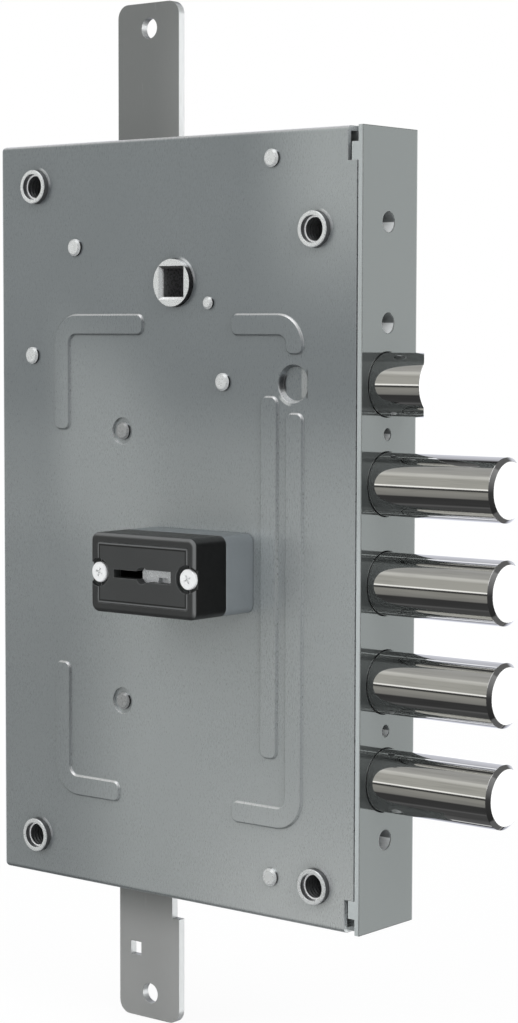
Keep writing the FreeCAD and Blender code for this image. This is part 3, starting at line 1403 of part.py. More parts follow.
def lever_pack():
    """Detainer levers with their gates in line at rest, and their bowed springs."""
    half = S.StumpWidth / 2
    gate = (
        S.StumpHeight - S.StumpTall / 2 - S.GatePlay,
        S.StumpHeight + S.StumpTall / 2 + S.GatePlay,
    )
    rest_x = S.StumpX - S.BoltTravel
    pocket_x = (rest_x - half - S.GatePlay, rest_x + half + S.RunGap)
    pocket_low = gate[0] - S.LeverLift - S.GatePlay
    play = S.LeverPostRadius + S.GatePlay
    for number in range(1, int(S.LeverCount.value) + 1):
        name = f"lever_{number}"
        depth = S.LeverFront + (S.LeverSheet + S.LeverGap) * (number - 1)
        body = new_body(name + "_body")
        outline = front_sketch(body, name + "_outline", depth)
        corners = [(S.LeverLeft, S.LeverLow), (S.LeverRight, S.LeverLow), (S.LeverRight, gate[0])]
        corners += [(pocket_x[1], gate[0]), (pocket_x[1], pocket_low), (pocket_x[0], pocket_low)]
        corners += [(pocket_x[0], gate[1]), (S.LeverRight, gate[1])]
        corners += [(S.LeverRight, S.LeverHigh), (S.LeverLeft, S.LeverHigh)]
        polygon(outline, corners)
        pad(body, outline, name + "_pad", S.LeverSheet, reverse=True)
        holes = front_sketch(body, name + "_holes", depth)
        circle(holes, S.CoreX, S.CoreHeight, S.LeverWindow)
        for x in (S.LeftLeverPostX, S.RightLeverPostX):
            low = S.LeverPostHeight - play - S.LeverLift
            rectangle(holes, (x - play, x + play), (low, S.LeverPostHeight + play))
        pocket(body, holes, name + "_cut", S.LeverSheet)
        finish(body, name)

        spot = (S.CoreX, depth, S.LeverHigh)
        outer = cylinder(f"leaf_outer_{number}", "y", spot, S.LeafRadius, S.LeverSheet)
        inner = cylinder(f"leaf_inner_{number}", "y", spot, S.LeafRadius - S.LeafSheet, S.LeverSheet)
        wide = S.LeafRadius + PAST
        below = box(
            f"leaf_below_{number}",
            (S.CoreX - wide, S.CoreX + wide),
            (depth, depth + S.LeverSheet),
            (S.LeverHigh - wide, S.LeverHigh),
        )
        finish(cut(f"leaf_{number}", outer, [inner, below]), f"lever_spring_{number}")


def lever_keeper():
    """Guide posts from the housing flange through the levers, and the plate on their ends."""
    start = INNER_FRONT + S.FlangeSheet
    lever_back = S.LeverFront + S.LeverCount * (S.LeverSheet + S.LeverGap)
    end = lever_back + S.KeeperSheet
    posts_made = []
    for side, x in (("left", S.LeftLeverPostX), ("right", S.RightLeverPostX)):
        profile = [
            (0, start),
            (S.LeverPostRadius, start),
            (S.LeverPostRadius, end),
            (0, end),
        ]
        posts_made.append(turned(side + "_lever_post", x, S.LeverPostHeight, profile))
    together = doc.addObject("Part::Compound", "lever_post_pair")
    together.Links = posts_made
    finish(together, "lever_guide_posts")
    body = new_body("keeper_body")
    outline = front_sketch(body, "keeper_outline", lever_back)
    rectangle(outline, (S.LeverLeft, S.LeverRight), (S.LeverLow, S.KeeperTop))
    pad(body, outline, "keeper_pad", S.KeeperSheet, reverse=True)
    holes = front_sketch(body, "keeper_holes", lever_back)
    circle(holes, S.CoreX, S.CoreHeight, S.LeverWindow)
    for x in (S.LeftLeverPostX, S.RightLeverPostX):
        circle(holes, x, S.LeverPostHeight, S.LeverPostRadius)
    pocket(body, holes, "keeper_cut", S.KeeperSheet)
    finish(body, "lever_keeper")


def check_document():
    """Stops on any failed object and on any piece without a sound solid."""
    for thing in doc.Objects:
        if "Invalid" in thing.State or "Error" in thing.State:
            raise RuntimeError(f"{thing.Name} failed: {thing.State}")
    for piece in parts:
        if piece.Shape.isNull() or not piece.Shape.isValid() or not piece.Shape.Solids:
            raise RuntimeError(f"{piece.Label} has no sound solid")


def main():
    """Builds every piece and writes one file for each."""
    lock_case()
    front_cover()
    fixing_bushes()
    posts()
    gear_axles()
    guide_studs()
    round_bolts()
    bolt_screws()
    carriage()
    rod_gears()
    rod("top", S.UpperGearHeight, TOP_ROD_END, TOP_ROD_END - S.TopRodHoleInset, 1)
    rod("bottom", S.LowerGearHeight, BOTTOM_ROD_END, BOTTOM_ROD_END + S.BottomRodHoleInset, -1)
    latch()
    follower()
    core()
    rotor()
    lever_pack()
    lever_keeper()
    doc.recompute()
    check_document()
    os.makedirs("parts", exist_ok=True)
    for piece in parts:
        piece.Shape.exportStep(f"parts/{piece.Label}.step")
    print(len(parts), "pieces")


main()
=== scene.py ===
"""Looks of a fitted lever lock: a steel case with four round bolts, a latch and two rods.

All lengths are in metres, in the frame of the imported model: X runs towards the door's edge,
Y into the lock and Z up.
"""
import json
import math

import bmesh
import bpy
from bpy.props import FloatProperty, FloatVectorProperty, PointerProperty
from mathutils import Matrix, Vector


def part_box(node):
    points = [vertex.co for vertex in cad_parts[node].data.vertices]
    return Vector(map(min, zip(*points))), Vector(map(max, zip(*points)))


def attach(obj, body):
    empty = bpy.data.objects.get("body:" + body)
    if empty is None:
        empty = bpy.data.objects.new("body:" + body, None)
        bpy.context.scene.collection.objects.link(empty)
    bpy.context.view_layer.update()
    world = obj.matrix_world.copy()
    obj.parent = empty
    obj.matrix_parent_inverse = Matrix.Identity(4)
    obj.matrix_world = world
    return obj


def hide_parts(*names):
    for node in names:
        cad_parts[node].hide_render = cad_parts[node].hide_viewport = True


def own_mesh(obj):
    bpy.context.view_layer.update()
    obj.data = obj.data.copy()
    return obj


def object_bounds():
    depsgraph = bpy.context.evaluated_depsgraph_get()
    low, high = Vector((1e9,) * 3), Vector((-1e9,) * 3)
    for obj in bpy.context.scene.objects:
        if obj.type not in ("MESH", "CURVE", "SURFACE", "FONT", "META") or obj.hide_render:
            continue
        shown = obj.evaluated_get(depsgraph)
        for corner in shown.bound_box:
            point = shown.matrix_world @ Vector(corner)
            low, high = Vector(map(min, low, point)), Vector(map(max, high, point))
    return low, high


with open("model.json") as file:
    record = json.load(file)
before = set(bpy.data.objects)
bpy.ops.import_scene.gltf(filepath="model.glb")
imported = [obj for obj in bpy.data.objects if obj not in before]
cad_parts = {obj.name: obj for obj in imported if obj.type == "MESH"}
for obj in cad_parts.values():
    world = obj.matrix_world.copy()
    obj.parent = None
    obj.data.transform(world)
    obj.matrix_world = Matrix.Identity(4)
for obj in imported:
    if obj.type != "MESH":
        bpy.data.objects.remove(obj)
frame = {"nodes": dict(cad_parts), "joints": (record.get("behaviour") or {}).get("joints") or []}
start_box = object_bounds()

bl_info = {
    "name": "Fitted lever lock",
    "version": (1, 0, 0),
    "blender": (4, 5, 0),
    "location": "3D View > Sidebar > Lever Lock",
    "description": "Finishes, small fittings and studio for a fitted lever lock",
    "category": "Object",
}

MM = 0.001
TINY = 1e-6
BEVEL_SAMPLES = 6
SHARP_ANGLE = math.radians(35)
NODES = frame["nodes"]
BUSHES = [name for name in NODES if name.startswith("fixing_bush_")]
LEVERS = [f"lever_{number}" for number in range(1, 7)]

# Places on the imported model: X and Z of the dimple, X, Z and radius of the hub's ring, half
# the socket's width over its chamfer, and height and radius of the edge plate's holes
DIMPLE = (-24.3 * MM, 41.6 * MM)
HUB = (-68.7 * MM, 70.5 * MM, 6.975 * MM)
HUB_LEAD = 4.9 * MM
PLATE_HOLES = (
    (86.9 * MM, 2.9 * MM), (58.8 * MM, 2.9 * MM), (27.61 * MM, 1.75 * MM),
    (-56.38 * MM, 1.75 * MM), (-87.58 * MM, 2.9 * MM),
)
HOLE_MARGIN = 0.2 * MM

# Shares of a thread's pitch with nought at its crest and one at its root, and turns that are
# cut off again at both ends
THREAD_FORM = ((0.0, 0), (0.25, 0), (0.56, 1), (0.69, 1))
THREAD_STEPS = 36
SPARE_TURNS = 3
WIRE_SIDES = 10

# Turns of the screws' slots in radians, and the shutter's recess as shares of its face
SLOT_TURNS = (0.35, 1.1)
RECESS_ACROSS = (0.46, 0.74)
RECESS_TOP = 0.4

# Camera, with its turn in degrees, and floor
CAMERA_PLACE = (0.399277, -0.544073, 0.056357)
CAMERA_TURN = (85.7472, -0.1420, 39.2478)
CAMERA_SHIFT = (-0.0037, -0.0013)
FLOOR_CENTRE = -0.05
FLOOR_GAP = 0.5 * MM
FLOOR_RADIUS = 3.0
FLOOR_NEAR = 0.3
FLOOR_FADE = 0.9

# Place, aim and size of each soft lamp
LAMPS = {
    "key": ((-0.9, -1.2, 0.95), (-0.07, 0, 0), (1.7, 2.0)),
    "low": ((-0.25, -0.42, -0.24), (-0.07, 0, -0.06), (0.4, 0.12)),
    "side": ((0.6, -0.15, 0.38), (0, 0, 0), (0.3, 0.3)),
}

# What metal mirrors. Directions run from minus one to one, to the right, inwards and up. The
# room's left and right sides blend around nought, and so do its front and back. The window is
# at the back on the right, the softbox in front and high up
SIDE_BLEND = (-0.12, 0.12)
BACK_BLEND = (-0.04, 0.06)
WINDOW = (-0.34, 0.17)
WINDOW_EDGE = 0.07
WINDOW_FRAME = (0.09, 0.09, 0.09)
SOFTBOX_WIDTH = 0.2
SOFTBOX_FOOT = (0.42, 0.52)
SOFTBOX = (1.15, 1.15, 1.15)
SOFT_TINT = (1, 1.01, 1.02)
BACK_GAIN = (1.25, 1.25, 1.25)

# Tones of the room from straight down to straight up: front, back, and front at the right
ROOM_STOPS = [
    (0.0, (0.05, 0.05, 0.05)),
    (0.115, (0.06, 0.06, 0.06)),
    (0.125, (0.1, 0.1, 0.1)),
    (0.145, (0.04, 0.04, 0.04)),
    (0.26, (0.035, 0.035, 0.035)),
    (0.285, (0.19, 0.187, 0.175)),
    (0.4, (0.25, 0.246, 0.225)),
    (0.44, (0.24, 0.236, 0.215)),
    (0.45, (0.04, 0.04, 0.038)),
    (0.488, (0.06, 0.06, 0.057)),
    (0.5, (0.95, 0.94, 0.9)),
    (0.52, (0.95, 0.94, 0.9)),
    (0.535, (0.36, 0.355, 0.325)),
    (0.73, (0.35, 0.345, 0.315)),
    (0.765, (0.52, 0.515, 0.48)),
    (0.8, (0.54, 0.535, 0.5)),
    (0.82, (0.37, 0.365, 0.345)),
    (0.875, (0.32, 0.317, 0.3)),
    (1.0, (0.4, 0.4, 0.4)),
]
BACK_STOPS = [
    (0.0, (0.03, 0.03, 0.03)),
    (0.116, (0.08, 0.08, 0.08)),
    (0.124, (0.5, 0.5, 0.5)),
    (0.137, (0.5, 0.5, 0.5)),
    (0.147, (0.02, 0.02, 0.02)),
    (0.17, (0.02, 0.02, 0.022)),
    (0.19, (0.25, 0.255, 0.285)),
    (0.28, (0.5, 0.51, 0.57)),
    (0.4, (0.8, 0.815, 0.88)),
    (0.46, (1.0, 1.0, 1.0)),
    (0.54, (1.0, 1.0, 1.0)),
    (0.6, (0.55, 0.56, 0.61)),
    (0.82, (0.4, 0.405, 0.44)),
    (0.85, (0.15, 0.15, 0.16)),
    (0.87, (0.015, 0.015, 0.015)),
    (0.9, (0.02, 0.02, 0.02)),
    (1.0, (0.1, 0.1, 0.1)),
]
RIGHT_STOPS = [
    (0.0, (0.02, 0.02, 0.02)),
    (0.45, (0.04, 0.04, 0.04)),
    (0.55, (0.09, 0.09, 0.09)),
    (1.0, (0.3, 0.3, 0.3)),
]


# Sizes and colours that a user may change

def colour(name, description, value):
    """A colour property in linear light."""
    return FloatVectorProperty(
        name=name, description=description, subtype="COLOR", size=3, min=0, max=1, default=value
    )


def length(name, description, value):
    """A length property in metres."""
    return FloatProperty(
        name=name, description=description, default=value, min=0, unit="LENGTH", precision=5
    )


def share(name, description, value):
    """A property between nought and one."""
    return FloatProperty(
        name=name, description=description, default=value, min=0, max=1, subtype="FACTOR"
    )


class LockFinishes(bpy.types.PropertyGroup):
    """Colours and wear of the lock's metals and plastics."""

    cover: colour("Cover", "Zinc-plated sheet of the cover", (0.24, 0.264, 0.277))
    # The cover's painted light, below, at the left and at the top right, also takes this tone
    cover_light: colour("Cover light", "Brighter clouds of the cover", (0.5, 0.535, 0.54))
    case: colour("Case", "Sheet of edge plate and back plate", (0.3, 0.325, 0.32))
    mirror: colour("Edge plate", "Polished face of the edge plate", (0.205, 0.223, 0.22))
    chrome: colour("Chrome", "Plating of bolts and latch", (0.92, 0.92, 0.915))
    rod: colour("Rod", "Flat bar of the rods", (0.235, 0.245, 0.245))
    # The rods' painted light in zones takes this tone
    rod_light: colour("Rod light", "Brighter side of the rods", (0.6, 0.61, 0.61))
    fitting: colour("Fitting", "Turned bushes, rivet heads and hub", (0.74, 0.76, 0.76))
    inner: colour("Inner steel", "Plain steel inside the case", (0.42, 0.42, 0.415))
    spring: colour("Spring steel", "Coil and leaf springs", (0.3, 0.31, 0.33))
    brass: colour("Brass", "Stamped levers", (0.62, 0.42, 0.16))
    housing: colour("Housing", "Grey body of the key core", (0.16, 0.178, 0.188))
    cap: colour("Cap", "Black cap of the key core", (0.022, 0.023, 0.023))
    plate: colour("Face plate", "Plate with the keyhole", (0.043, 0.045, 0.045))
    screw: colour("Core screw", "Bright screws of the key core", (0.83, 0.84, 0.84))
    shutter: colour("Shutter", "Metal behind the keyhole", (0.75, 0.77, 0.78))
    # Painted shade: the bushes' threads and outer side walls take this tone
    bore_shade: colour("Bore", "Dark thread and side walls of the bushes", (0.11, 0.113, 0.116))
    grain: share("Grain", "Depth of the sheet's fine grain", 0.3)
    wear: share("Wear", "Small scratches and dull spots", 0.35)


class LockFittings(bpy.types.PropertyGroup):
    """Sizes of the small fittings that are modelled here."""

    slot_width: length("Slot width", "Width of the cross slot in a core screw", 0.5 * MM)
    slot_reach: length("Slot length", "Length of the cross slot in a core screw", 2.6 * MM)
    slot_depth: length("Slot depth", "Depth of the cross slot in a core screw", 0.5 * MM)
    head_depth: length("Head depth", "Height of a core screw's head", 1.1 * MM)
    shank: length("Shank", "Radius of a core screw's shank", 1.6 * MM)
    thread_wall: length("Thread wall", "Radius of the fixing bushes' thread at its crest", 3.325 * MM)
    thread_pitch: length("Thread pitch", "Pitch of the fixing bushes' thread", 1.25 * MM)
    thread_depth: length("Thread depth", "Depth of the fixing bushes' thread", 0.5 * MM)
    counter: length("Counterbore", "Radius of the fixing bushes' counterbore", 3.85 * MM)
    counter_depth: length("Counterbore depth", "Depth of that counterbore", 1.7 * MM)
    bush_tail: length("Bush tail", "Radius of a fixing bush in the back plate", 4.2 * MM)
    tail_depth: length("Bush tail length", "Length of that tail", 1.6 * MM)
    rim: length("Rim", "Chamfer of turned rims", 0.25 * MM)
    latch_wire: length("Latch spring wire", "Radius of the latch spring's wire", 0.35 * MM)
    shutter_wire: length("Shutter spring wire", "Radius of the shutter spring's wire", 0.14 * MM)
    recess_depth: length("Shutter recess", "Depth of the recess in the shutter's face", 1.2 * MM)


class LockStudio(bpy.types.PropertyGroup):
    """Camera, lamps and floor."""

    lens: FloatProperty(
        name="Lens", description="Focal length on a 36 mm sensor", default=84.6, min=20, unit="CAMERA"
    )
    floor: colour("Floor", "Pale floor", (0.97, 0.97, 0.97))
    clear: share("Clear floor", "Share of plain white in the floor under the lock", 0.93)
    soft: FloatProperty(
        name="Soft light", description="Even light from all sides", default=0.72, min=0
    )
    key_power: FloatProperty(
        name="Key lamp", description="Power of the large soft lamp", default=13.0, min=0, unit="POWER"
    )
    low_power: FloatProperty(
        name="Low lamp", description="Power of the lamp near the lower half", default=1.2, min=0,
        unit="POWER"
    )
    side_power: FloatProperty(
        name="Side lamp", description="Power of the lamp at the bolts' side", default=2.5, min=0,
        unit="POWER"
    )


# Shader expressions

class Wire:
    """An output of a shader node that can stand in a Python expression."""

    def __init__(self, finish, socket):
        self.finish = finish
        self.socket = socket

    def output(self, key):
        """Another output of the same node."""
        return Wire(self.finish, self.socket.node.outputs[key])

    def _math(self, operation, *values):
        inputs = dict(enumerate(values))
        return self.finish.node("ShaderNodeMath", {"operation": operation}, inputs)

    def __add__(self, other):
        return self._math("ADD", self, other)

    def __radd__(self, other):
        return self._math("ADD", other, self)

    def __sub__(self, other):
        return self._math("SUBTRACT", self, other)

    def __rsub__(self, other):
        return self._math("SUBTRACT", other, self)

    def __mul__(self, other):
        return self._math("MULTIPLY", self, other)

    def __rmul__(self, other):
        return self._math("MULTIPLY", other, self)

    def __truediv__(self, other):
        return self._math("DIVIDE", self, other)

    def __abs__(self):
        return self._math("ABSOLUTE", self)

    def root(self):
        """Square root."""
        return self._math("SQRT", self)

    def least(self, other):
        """The smaller of two values."""
        return self._math("MINIMUM", self, other)


class Finish:
    """Node tree of one material, built from expressions."""

    def __init__(self, tree):
        self.tree = tree
        tree.nodes.clear()

    def node(self, kind, settings=None, inputs=None, output=0):
        """Adds a node: first its settings, then the values or wires of its sockets."""
        made = self.tree.nodes.new(kind)
        for name, value in (settings or {}).items():
            if name == "stops":
                set_stops(made.color_ramp, value)
            else:
                setattr(made, name, value)
        for key, value in (inputs or {}).items():
            socket = made.inputs[key]
            if isinstance(value, Wire):
                self.tree.links.new(value.socket, socket)
            elif socket.type == "RGBA" and len(value) == 3:
                socket.default_value = (*value, 1)
            else:
                socket.default_value = value
        return Wire(self, made.outputs[output]) if made.outputs else made

    def place(self, scale=(1, 1, 1), turn=(0, 0, 0), centre=(0, 0, 0)):
        """Object coordinates, centred, turned and stretched for a pattern."""
        here = self.node("ShaderNodeTexCoord", output="Object")
        settings = {"vector_type": "TEXTURE"}
        size = tuple(1 / s for s in scale)
        inputs = {"Vector": here, "Location": centre, "Rotation": turn, "Scale": size}
        return self.node("ShaderNodeMapping", settings, inputs)

    def noise(self, where, scale, detail=2.0, roughness=0.5, distortion=0.0):
        """Soft random pattern between nought and one."""
        inputs = {"Vector": where, "Scale": scale, "Detail": detail}
        inputs.update({"Roughness": roughness, "Distortion": distortion})
        return self.node("ShaderNodeTexNoise", {}, inputs)

    def spread(self, value, low, high, to_low=0.0, to_high=1.0, kind="SMOOTHSTEP"):
        """A value taken from one range to another, held at the ends."""
        settings = {"interpolation_type": kind, "clamp": True}
        inputs = {0: value, 1: low, 2: high, 3: to_low, 4: to_high}
        return self.node("ShaderNodeMapRange", settings, inputs)

    def parts(self, vector):
        """X, Y and Z of a vector."""
        first = self.node("ShaderNodeSeparateXYZ", {}, {0: vector})
        return first, first.output("Y"), first.output("Z")

    def within(self, value, low, high, soft):
        """One between two values, with soft ends."""
        return self.spread(value, low - soft, low) * self.spread(value, high + soft, high)

    def mix(self, factor, first, second, kind="MIX"):
        """Two colours mixed."""
        settings = {"data_type": "RGBA", "blend_type": kind}
        return self.node("ShaderNodeMix", settings, {0: factor, 6: first, 7: second}, output=2)

    def bump(self, height, distance, strength=1.0, normal=None):
        """A normal from a height pattern; the distance is in metres."""
        inputs = {"Height": height, "Distance": distance, "Strength": strength}
        if normal is not None:
            inputs["Normal"] = normal
        return self.node("ShaderNodeBump", {}, inputs)

    def soft_edge(self, radius):
        """A normal that rounds sharp edges by a small radius."""
        return self.node("ShaderNodeBevel", {"samples": BEVEL_SAMPLES}, {"Radius": radius})

    def facing(self):
        """X, Y and Z of the surface's plain normal."""
        return self.parts(self.node("ShaderNodeNewGeometry", output="Normal"))

    def worn_edge(self, radius):
        """Near nought on flat surfaces and near one along sharp edges."""
        rounded = self.soft_edge(radius)
        plain = self.node("ShaderNodeNewGeometry", output="Normal")
        settings = {"operation": "DOT_PRODUCT"}
        inputs = {0: rounded, 1: plain}
        same = self.node("ShaderNodeVectorMath", settings, inputs, output="Value")
        return self.spread(same, 0.99, 0.8)

    def surface(self, **sockets):
        """Closes the tree with one shader; underscores stand for spaces in socket names."""
        names = {key.replace("_", " "): value for key, value in sockets.items()}
        shader = self.node("ShaderNodeBsdfPrincipled", {}, names)
        self.node("ShaderNodeOutputMaterial", {}, {"Surface": shader})


def set_stops(ramp, stops):
    """Gives a colour ramp its stops."""
    while len(ramp.elements) < len(stops):
        ramp.elements.new(1.0)
    for element, (position, shade) in zip(ramp.elements, stops):
        element.position = position
        element.color = (*shade, 1)


def new_finish(name):
    """An empty material and its finish."""
    material = bpy.data.materials.new(name)
    material.use_nodes = True
    return material, Finish(material.node_tree)


def coat(material, *nodes):
    """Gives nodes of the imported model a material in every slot."""
    for node in nodes:
        slots = NODES[node].material_slots
        if not slots:
            raise RuntimeError(node + " has no material slot")
        for slot in slots:
            slot.material = material


def scaled(tone, factor):
    """A tone made darker or lighter."""
    return tuple(factor * part for part in tone)


def finishes():
    """The scene's colours and wear."""
    return bpy.context.scene.lock_finishes


def fittings():
    """The scene's sizes of small fittings."""
    return bpy.context.scene.lock_fittings


# Tones of wear, light and shade that the finishes mix in

WHITE = (1.0, 1.0, 1.0)
SHEET_SPOT = (0.2, 0.215, 0.22)
SHEET_EDGE = (0.72, 0.74, 0.74)
SHEET_EDGE_HIGHLIGHT = (0.62, 0.64, 0.64)
COVER_FOOT_LIGHT = (0.78, 0.81, 0.81)
BEAD_SHADE = (0.1, 0.11, 0.11)
COVER_GLINT = (0.85, 0.87, 0.88)
DIMPLE_SHADE = (0.03, 0.03, 0.032)
DIMPLE_LIGHT = (0.8, 0.82, 0.82)
DIMPLE_BAND_LIGHT = (0.6, 0.62, 0.62)
DIMPLE_RIM_SHADE = (0.08, 0.08, 0.085)
HOLE_SHADE = (0.16, 0.17, 0.17)
HOLE_LIGHT = (0.95, 0.97, 0.97)
CHROME_HAZE = (0.55, 0.56, 0.57)
CHROME_STREAK = (0.3, 0.31, 0.3)
TURNED_EDGE = (0.8, 0.81, 0.81)
HEAD_SHADE = (0.02, 0.02, 0.021)
HEAD_GLINT = (0.9, 0.91, 0.92)
SOCKET_LIP_SHADE = (0.05, 0.05, 0.05)
SOCKET_FLOOR_SHADE = (0.16, 0.16, 0.163)
ROD_CLOUD = (0.25, 0.255, 0.26)
ROD_RUB = (0.55, 0.56, 0.56)
ROD_EDGE = (0.75, 0.76, 0.75)
ROD_SIDE_HIGHLIGHT = (0.8, 0.82, 0.82)
TARNISH = (0.33, 0.2, 0.08)
BRASS_EDGE = (0.85, 0.68, 0.36)
CAP_ROUNDING_HIGHLIGHT = (0.2, 0.205, 0.205)
CAP_SIDE_SHADE = (0.004, 0.004, 0.004)
PLATE_LINE_HIGHLIGHT = (0.13, 0.135, 0.135)
PLATE_GROOVE_SHADE = (0.006, 0.006, 0.006)
WORN_CAP = (0.16, 0.165, 0.165)
WORN_HOUSING = (0.4, 0.42, 0.43)
GUARD = (0.06, 0.06, 0.065)

# Shares of a finish's own tone: gear axles, stains on turned steel and clouds on painted coats
AXLE_SHARE = 0.5
STAIN_SHARE = 0.6
CLOUD_SHARE = 1.25


# Sheet of the case and its cover

def sheet_steel(name, base, light, turn, shades, polish=None):
    """Zinc-plated sheet: rolled grain, faint spots, painted light and shade, and bright edges."""
    look = finishes()
    material, f = new_finish(name)
    here = f.place()
    rolled = f.place(scale=(1, 1, 14), turn=turn)
    grain = f.noise(rolled, scale=900, detail=3, roughness=0.65)
    speck = f.noise(here, scale=1500, roughness=0.6)
    cloud = f.noise(here, scale=9, detail=1.5, roughness=0.45, distortion=0.6)
    patch = f.spread(f.noise(here, scale=45, detail=3, roughness=0.55), 0.3, 0.7)
    tone = f.mix(patch * 0.04, base, SHEET_SPOT)
    tone = f.mix(f.spread(grain, 0.3, 0.7) * look.grain * 0.3, tone, light)
    tone = shades(f, tone, cloud)
    tone = f.mix(f.worn_edge(radius=0.35 * MM) * 0.5, tone, SHEET_EDGE)
    rough = f.spread(grain, 0.25, 0.75, 0.24, 0.34) + patch * 0.02
    rough = rough + f.spread(speck, 0.62, 0.75) * 0.03
    metallic = 0.6
    if polish:
        tone, rough, metallic = polish(f, tone, rough, metallic)
    height = grain * 0.7 + speck * 0.3
    edges = f.soft_edge(radius=0.3 * MM)
    normal = f.bump(height, distance=0.0013 * MM, strength=look.grain, normal=edges)
    f.surface(Base_Color=tone, Metallic=metallic, Roughness=rough, Normal=normal)
    return material


def cover_shades(f, tone, cloud):
    """The cover's painted light and shade: zones, bead slopes, glints by heads, and the dimple."""
    x, _, z = f.parts(f.place())
    tone = cover_painted_light(f, tone, x, z, cloud)
    tone = bead_lines(f, tone)
    tone = head_glints(f, tone)
    return dimple_shades(f, tone, x, z)


def cover_painted_light(f, tone, x, z, cloud):
    """Painted light: darker at the top, lighter below, at the left, top right and at the foot."""
    light = finishes().cover_light
    lower = f.spread(z + cloud * 0.02, 55 * MM, -10 * MM)
    lower = lower * (0.33 + f.spread(x, -118 * MM, -80 * MM) * 0.57)
    lower = lower + f.within(z, 5 * MM, 20 * MM, soft=20 * MM) * 0.15
    drift = z + x * 0.35 + cloud * 0.03
    left = f.spread(x, -60 * MM, -100 * MM) * f.spread(x, -125 * MM, -108 * MM)
    left = f.within(drift, -8 * MM, 12 * MM, soft=30 * MM) * left * 0.5
    corner = f.spread(x, -45 * MM, -10 * MM) * f.spread(z, 50 * MM, 100 * MM) * 0.72
    foot = f.spread(z, -60 * MM, -120 * MM) * f.spread(x, -80 * MM, -20 * MM) * 0.55
    tone = f.mix(lower, tone, light)
    tone = f.mix(left + corner, tone, light)
    return f.mix(foot, tone, COVER_FOOT_LIGHT)


def bead_lines(f, tone):
    """Light along slopes that face up and right, and shade along the ones that face away."""
    right, out, up = f.facing()
    slope = f.spread(abs(out), 0.985, 0.93)
    lit = up * 0.9 + right * 0.45
    tone = f.mix(slope * f.spread(lit, 0.3, 0.8) * 0.85, tone, WHITE)
    return f.mix(slope * f.spread(lit, -0.1, -0.4) * 0.5, tone, BEAD_SHADE)


def crescent(f, centre, inner, outer, way, ends=(0.72, 0.95)):
    """One on a thin crescent about a point of the cover, on the side that a direction names."""
    x, _, z = f.parts(f.place())
    right = x - centre[0]
    up = z - centre[1]
    apart = (right * right + up * up).root()
    side = (right * way[0] + up * way[1]) / (apart + TINY)
    return f.within(apart, inner, outer, soft=0.3 * MM) * f.spread(side, *ends)


def head_glints(f, tone):
    """A glint on the cover at the upper right of the hub and of each fixing bush."""
    near = 0.1 * MM
    far = 0.8 * MM
    way = (0.8, 0.6)
    glint = crescent(f, HUB[:2], HUB[2] + near, HUB[2] + far, way)
    for node in BUSHES:
        low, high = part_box(node)
        radius = (high.x - low.x) / 2
        spot = ((low.x + high.x) / 2, (low.z + high.z) / 2)
        glint = crescent(f, spot, radius + near, radius + far, way) + glint
    return f.mix(glint * 0.75, tone, COVER_GLINT)


def dimple_shades(f, tone, x, z):
    """The dimple's painted light and shade: shade at its left, light at its foot, a lit band, a dark
    rim.
    """
    sunk = crescent(f, DIMPLE, 4.1 * MM, 5.2 * MM, (-1.0, 0.05), ends=(0.8, 0.97))
    tone = f.mix(sunk * 0.85, tone, DIMPLE_SHADE)
    lit = crescent(f, DIMPLE, 5.4 * MM, 6.3 * MM, (-0.5, -0.86), ends=(0.88, 0.98))
    tone = f.mix(lit * 0.7, tone, DIMPLE_LIGHT)
    apart = x - DIMPLE[0]
    tall = f.within(z - DIMPLE[1], -3.6 * MM, 3.6 * MM, soft=0.8 * MM)
    band = f.within(apart, 2.0 * MM, 3.4 * MM, soft=0.6 * MM) * tall
    tone = f.mix(band * 0.55, tone, DIMPLE_BAND_LIGHT)
    line = f.within(apart, 4.9 * MM, 5.2 * MM, soft=0.3 * MM) * tall
    return f.mix(line * 0.7, tone, DIMPLE_RIM_SHADE)


def case_shades(f, tone, cloud):
    """Soft clouds, a painted highlight on the front edge, and painted light and shade in the holes."""
    x, y, z = f.parts(f.place())
    tone = f.mix(f.spread(cloud, 0.36, 0.64) * 0.5, tone, finishes().cover_light)
    # Painted highlight along the sheet's front edge beside the edge plate
    cut = f.spread(y, -12.8 * MM, -13.3 * MM) * f.spread(x, -2.2 * MM, -1.6 * MM)
    tone = f.mix(cut * 0.12, tone, SHEET_EDGE_HIGHLIGHT)
    widest = max(radius for _, radius in PLATE_HOLES) + HOLE_MARGIN
    inside = f.spread(x, -0.2 * MM, -0.4 * MM) * f.within(y, -widest, widest, soft=0.3 * MM)
    # Painted shade on each hole's wall, and painted light on its lower half
    for height, radius in PLATE_HOLES:
        reach = radius + HOLE_MARGIN
        wall = inside * f.within(z - height, -reach, reach, soft=0.2 * MM)
        tone = f.mix(wall, tone, HOLE_SHADE)
        tone = f.mix(wall * f.spread(z - height, 0.2 * MM, -0.1 * MM), tone, HOLE_LIGHT)
    return tone


def plate_polish(f, tone, rough, metallic):
    """The outer face of the edge plate is polished; its hole walls are plain."""
    x, _, _ = f.parts(f.place())
    out, _, _ = f.facing()
    face = f.spread(out, 0.6, 0.9) * f.spread(x, -0.4 * MM, -0.1 * MM)
    wall = f.spread(x, -0.2 * MM, -0.4 * MM) * f.spread(x, -4.5 * MM, -4.0 * MM)
    tone = f.mix(face, tone, finishes().mirror)
    rough = rough * (1 - face) + face * 0.07
    metallic = metallic * (1 - wall) * (1 - face) + face * 0.76
    return tone, rough, metallic


# Plating, turned steel, bars and brass

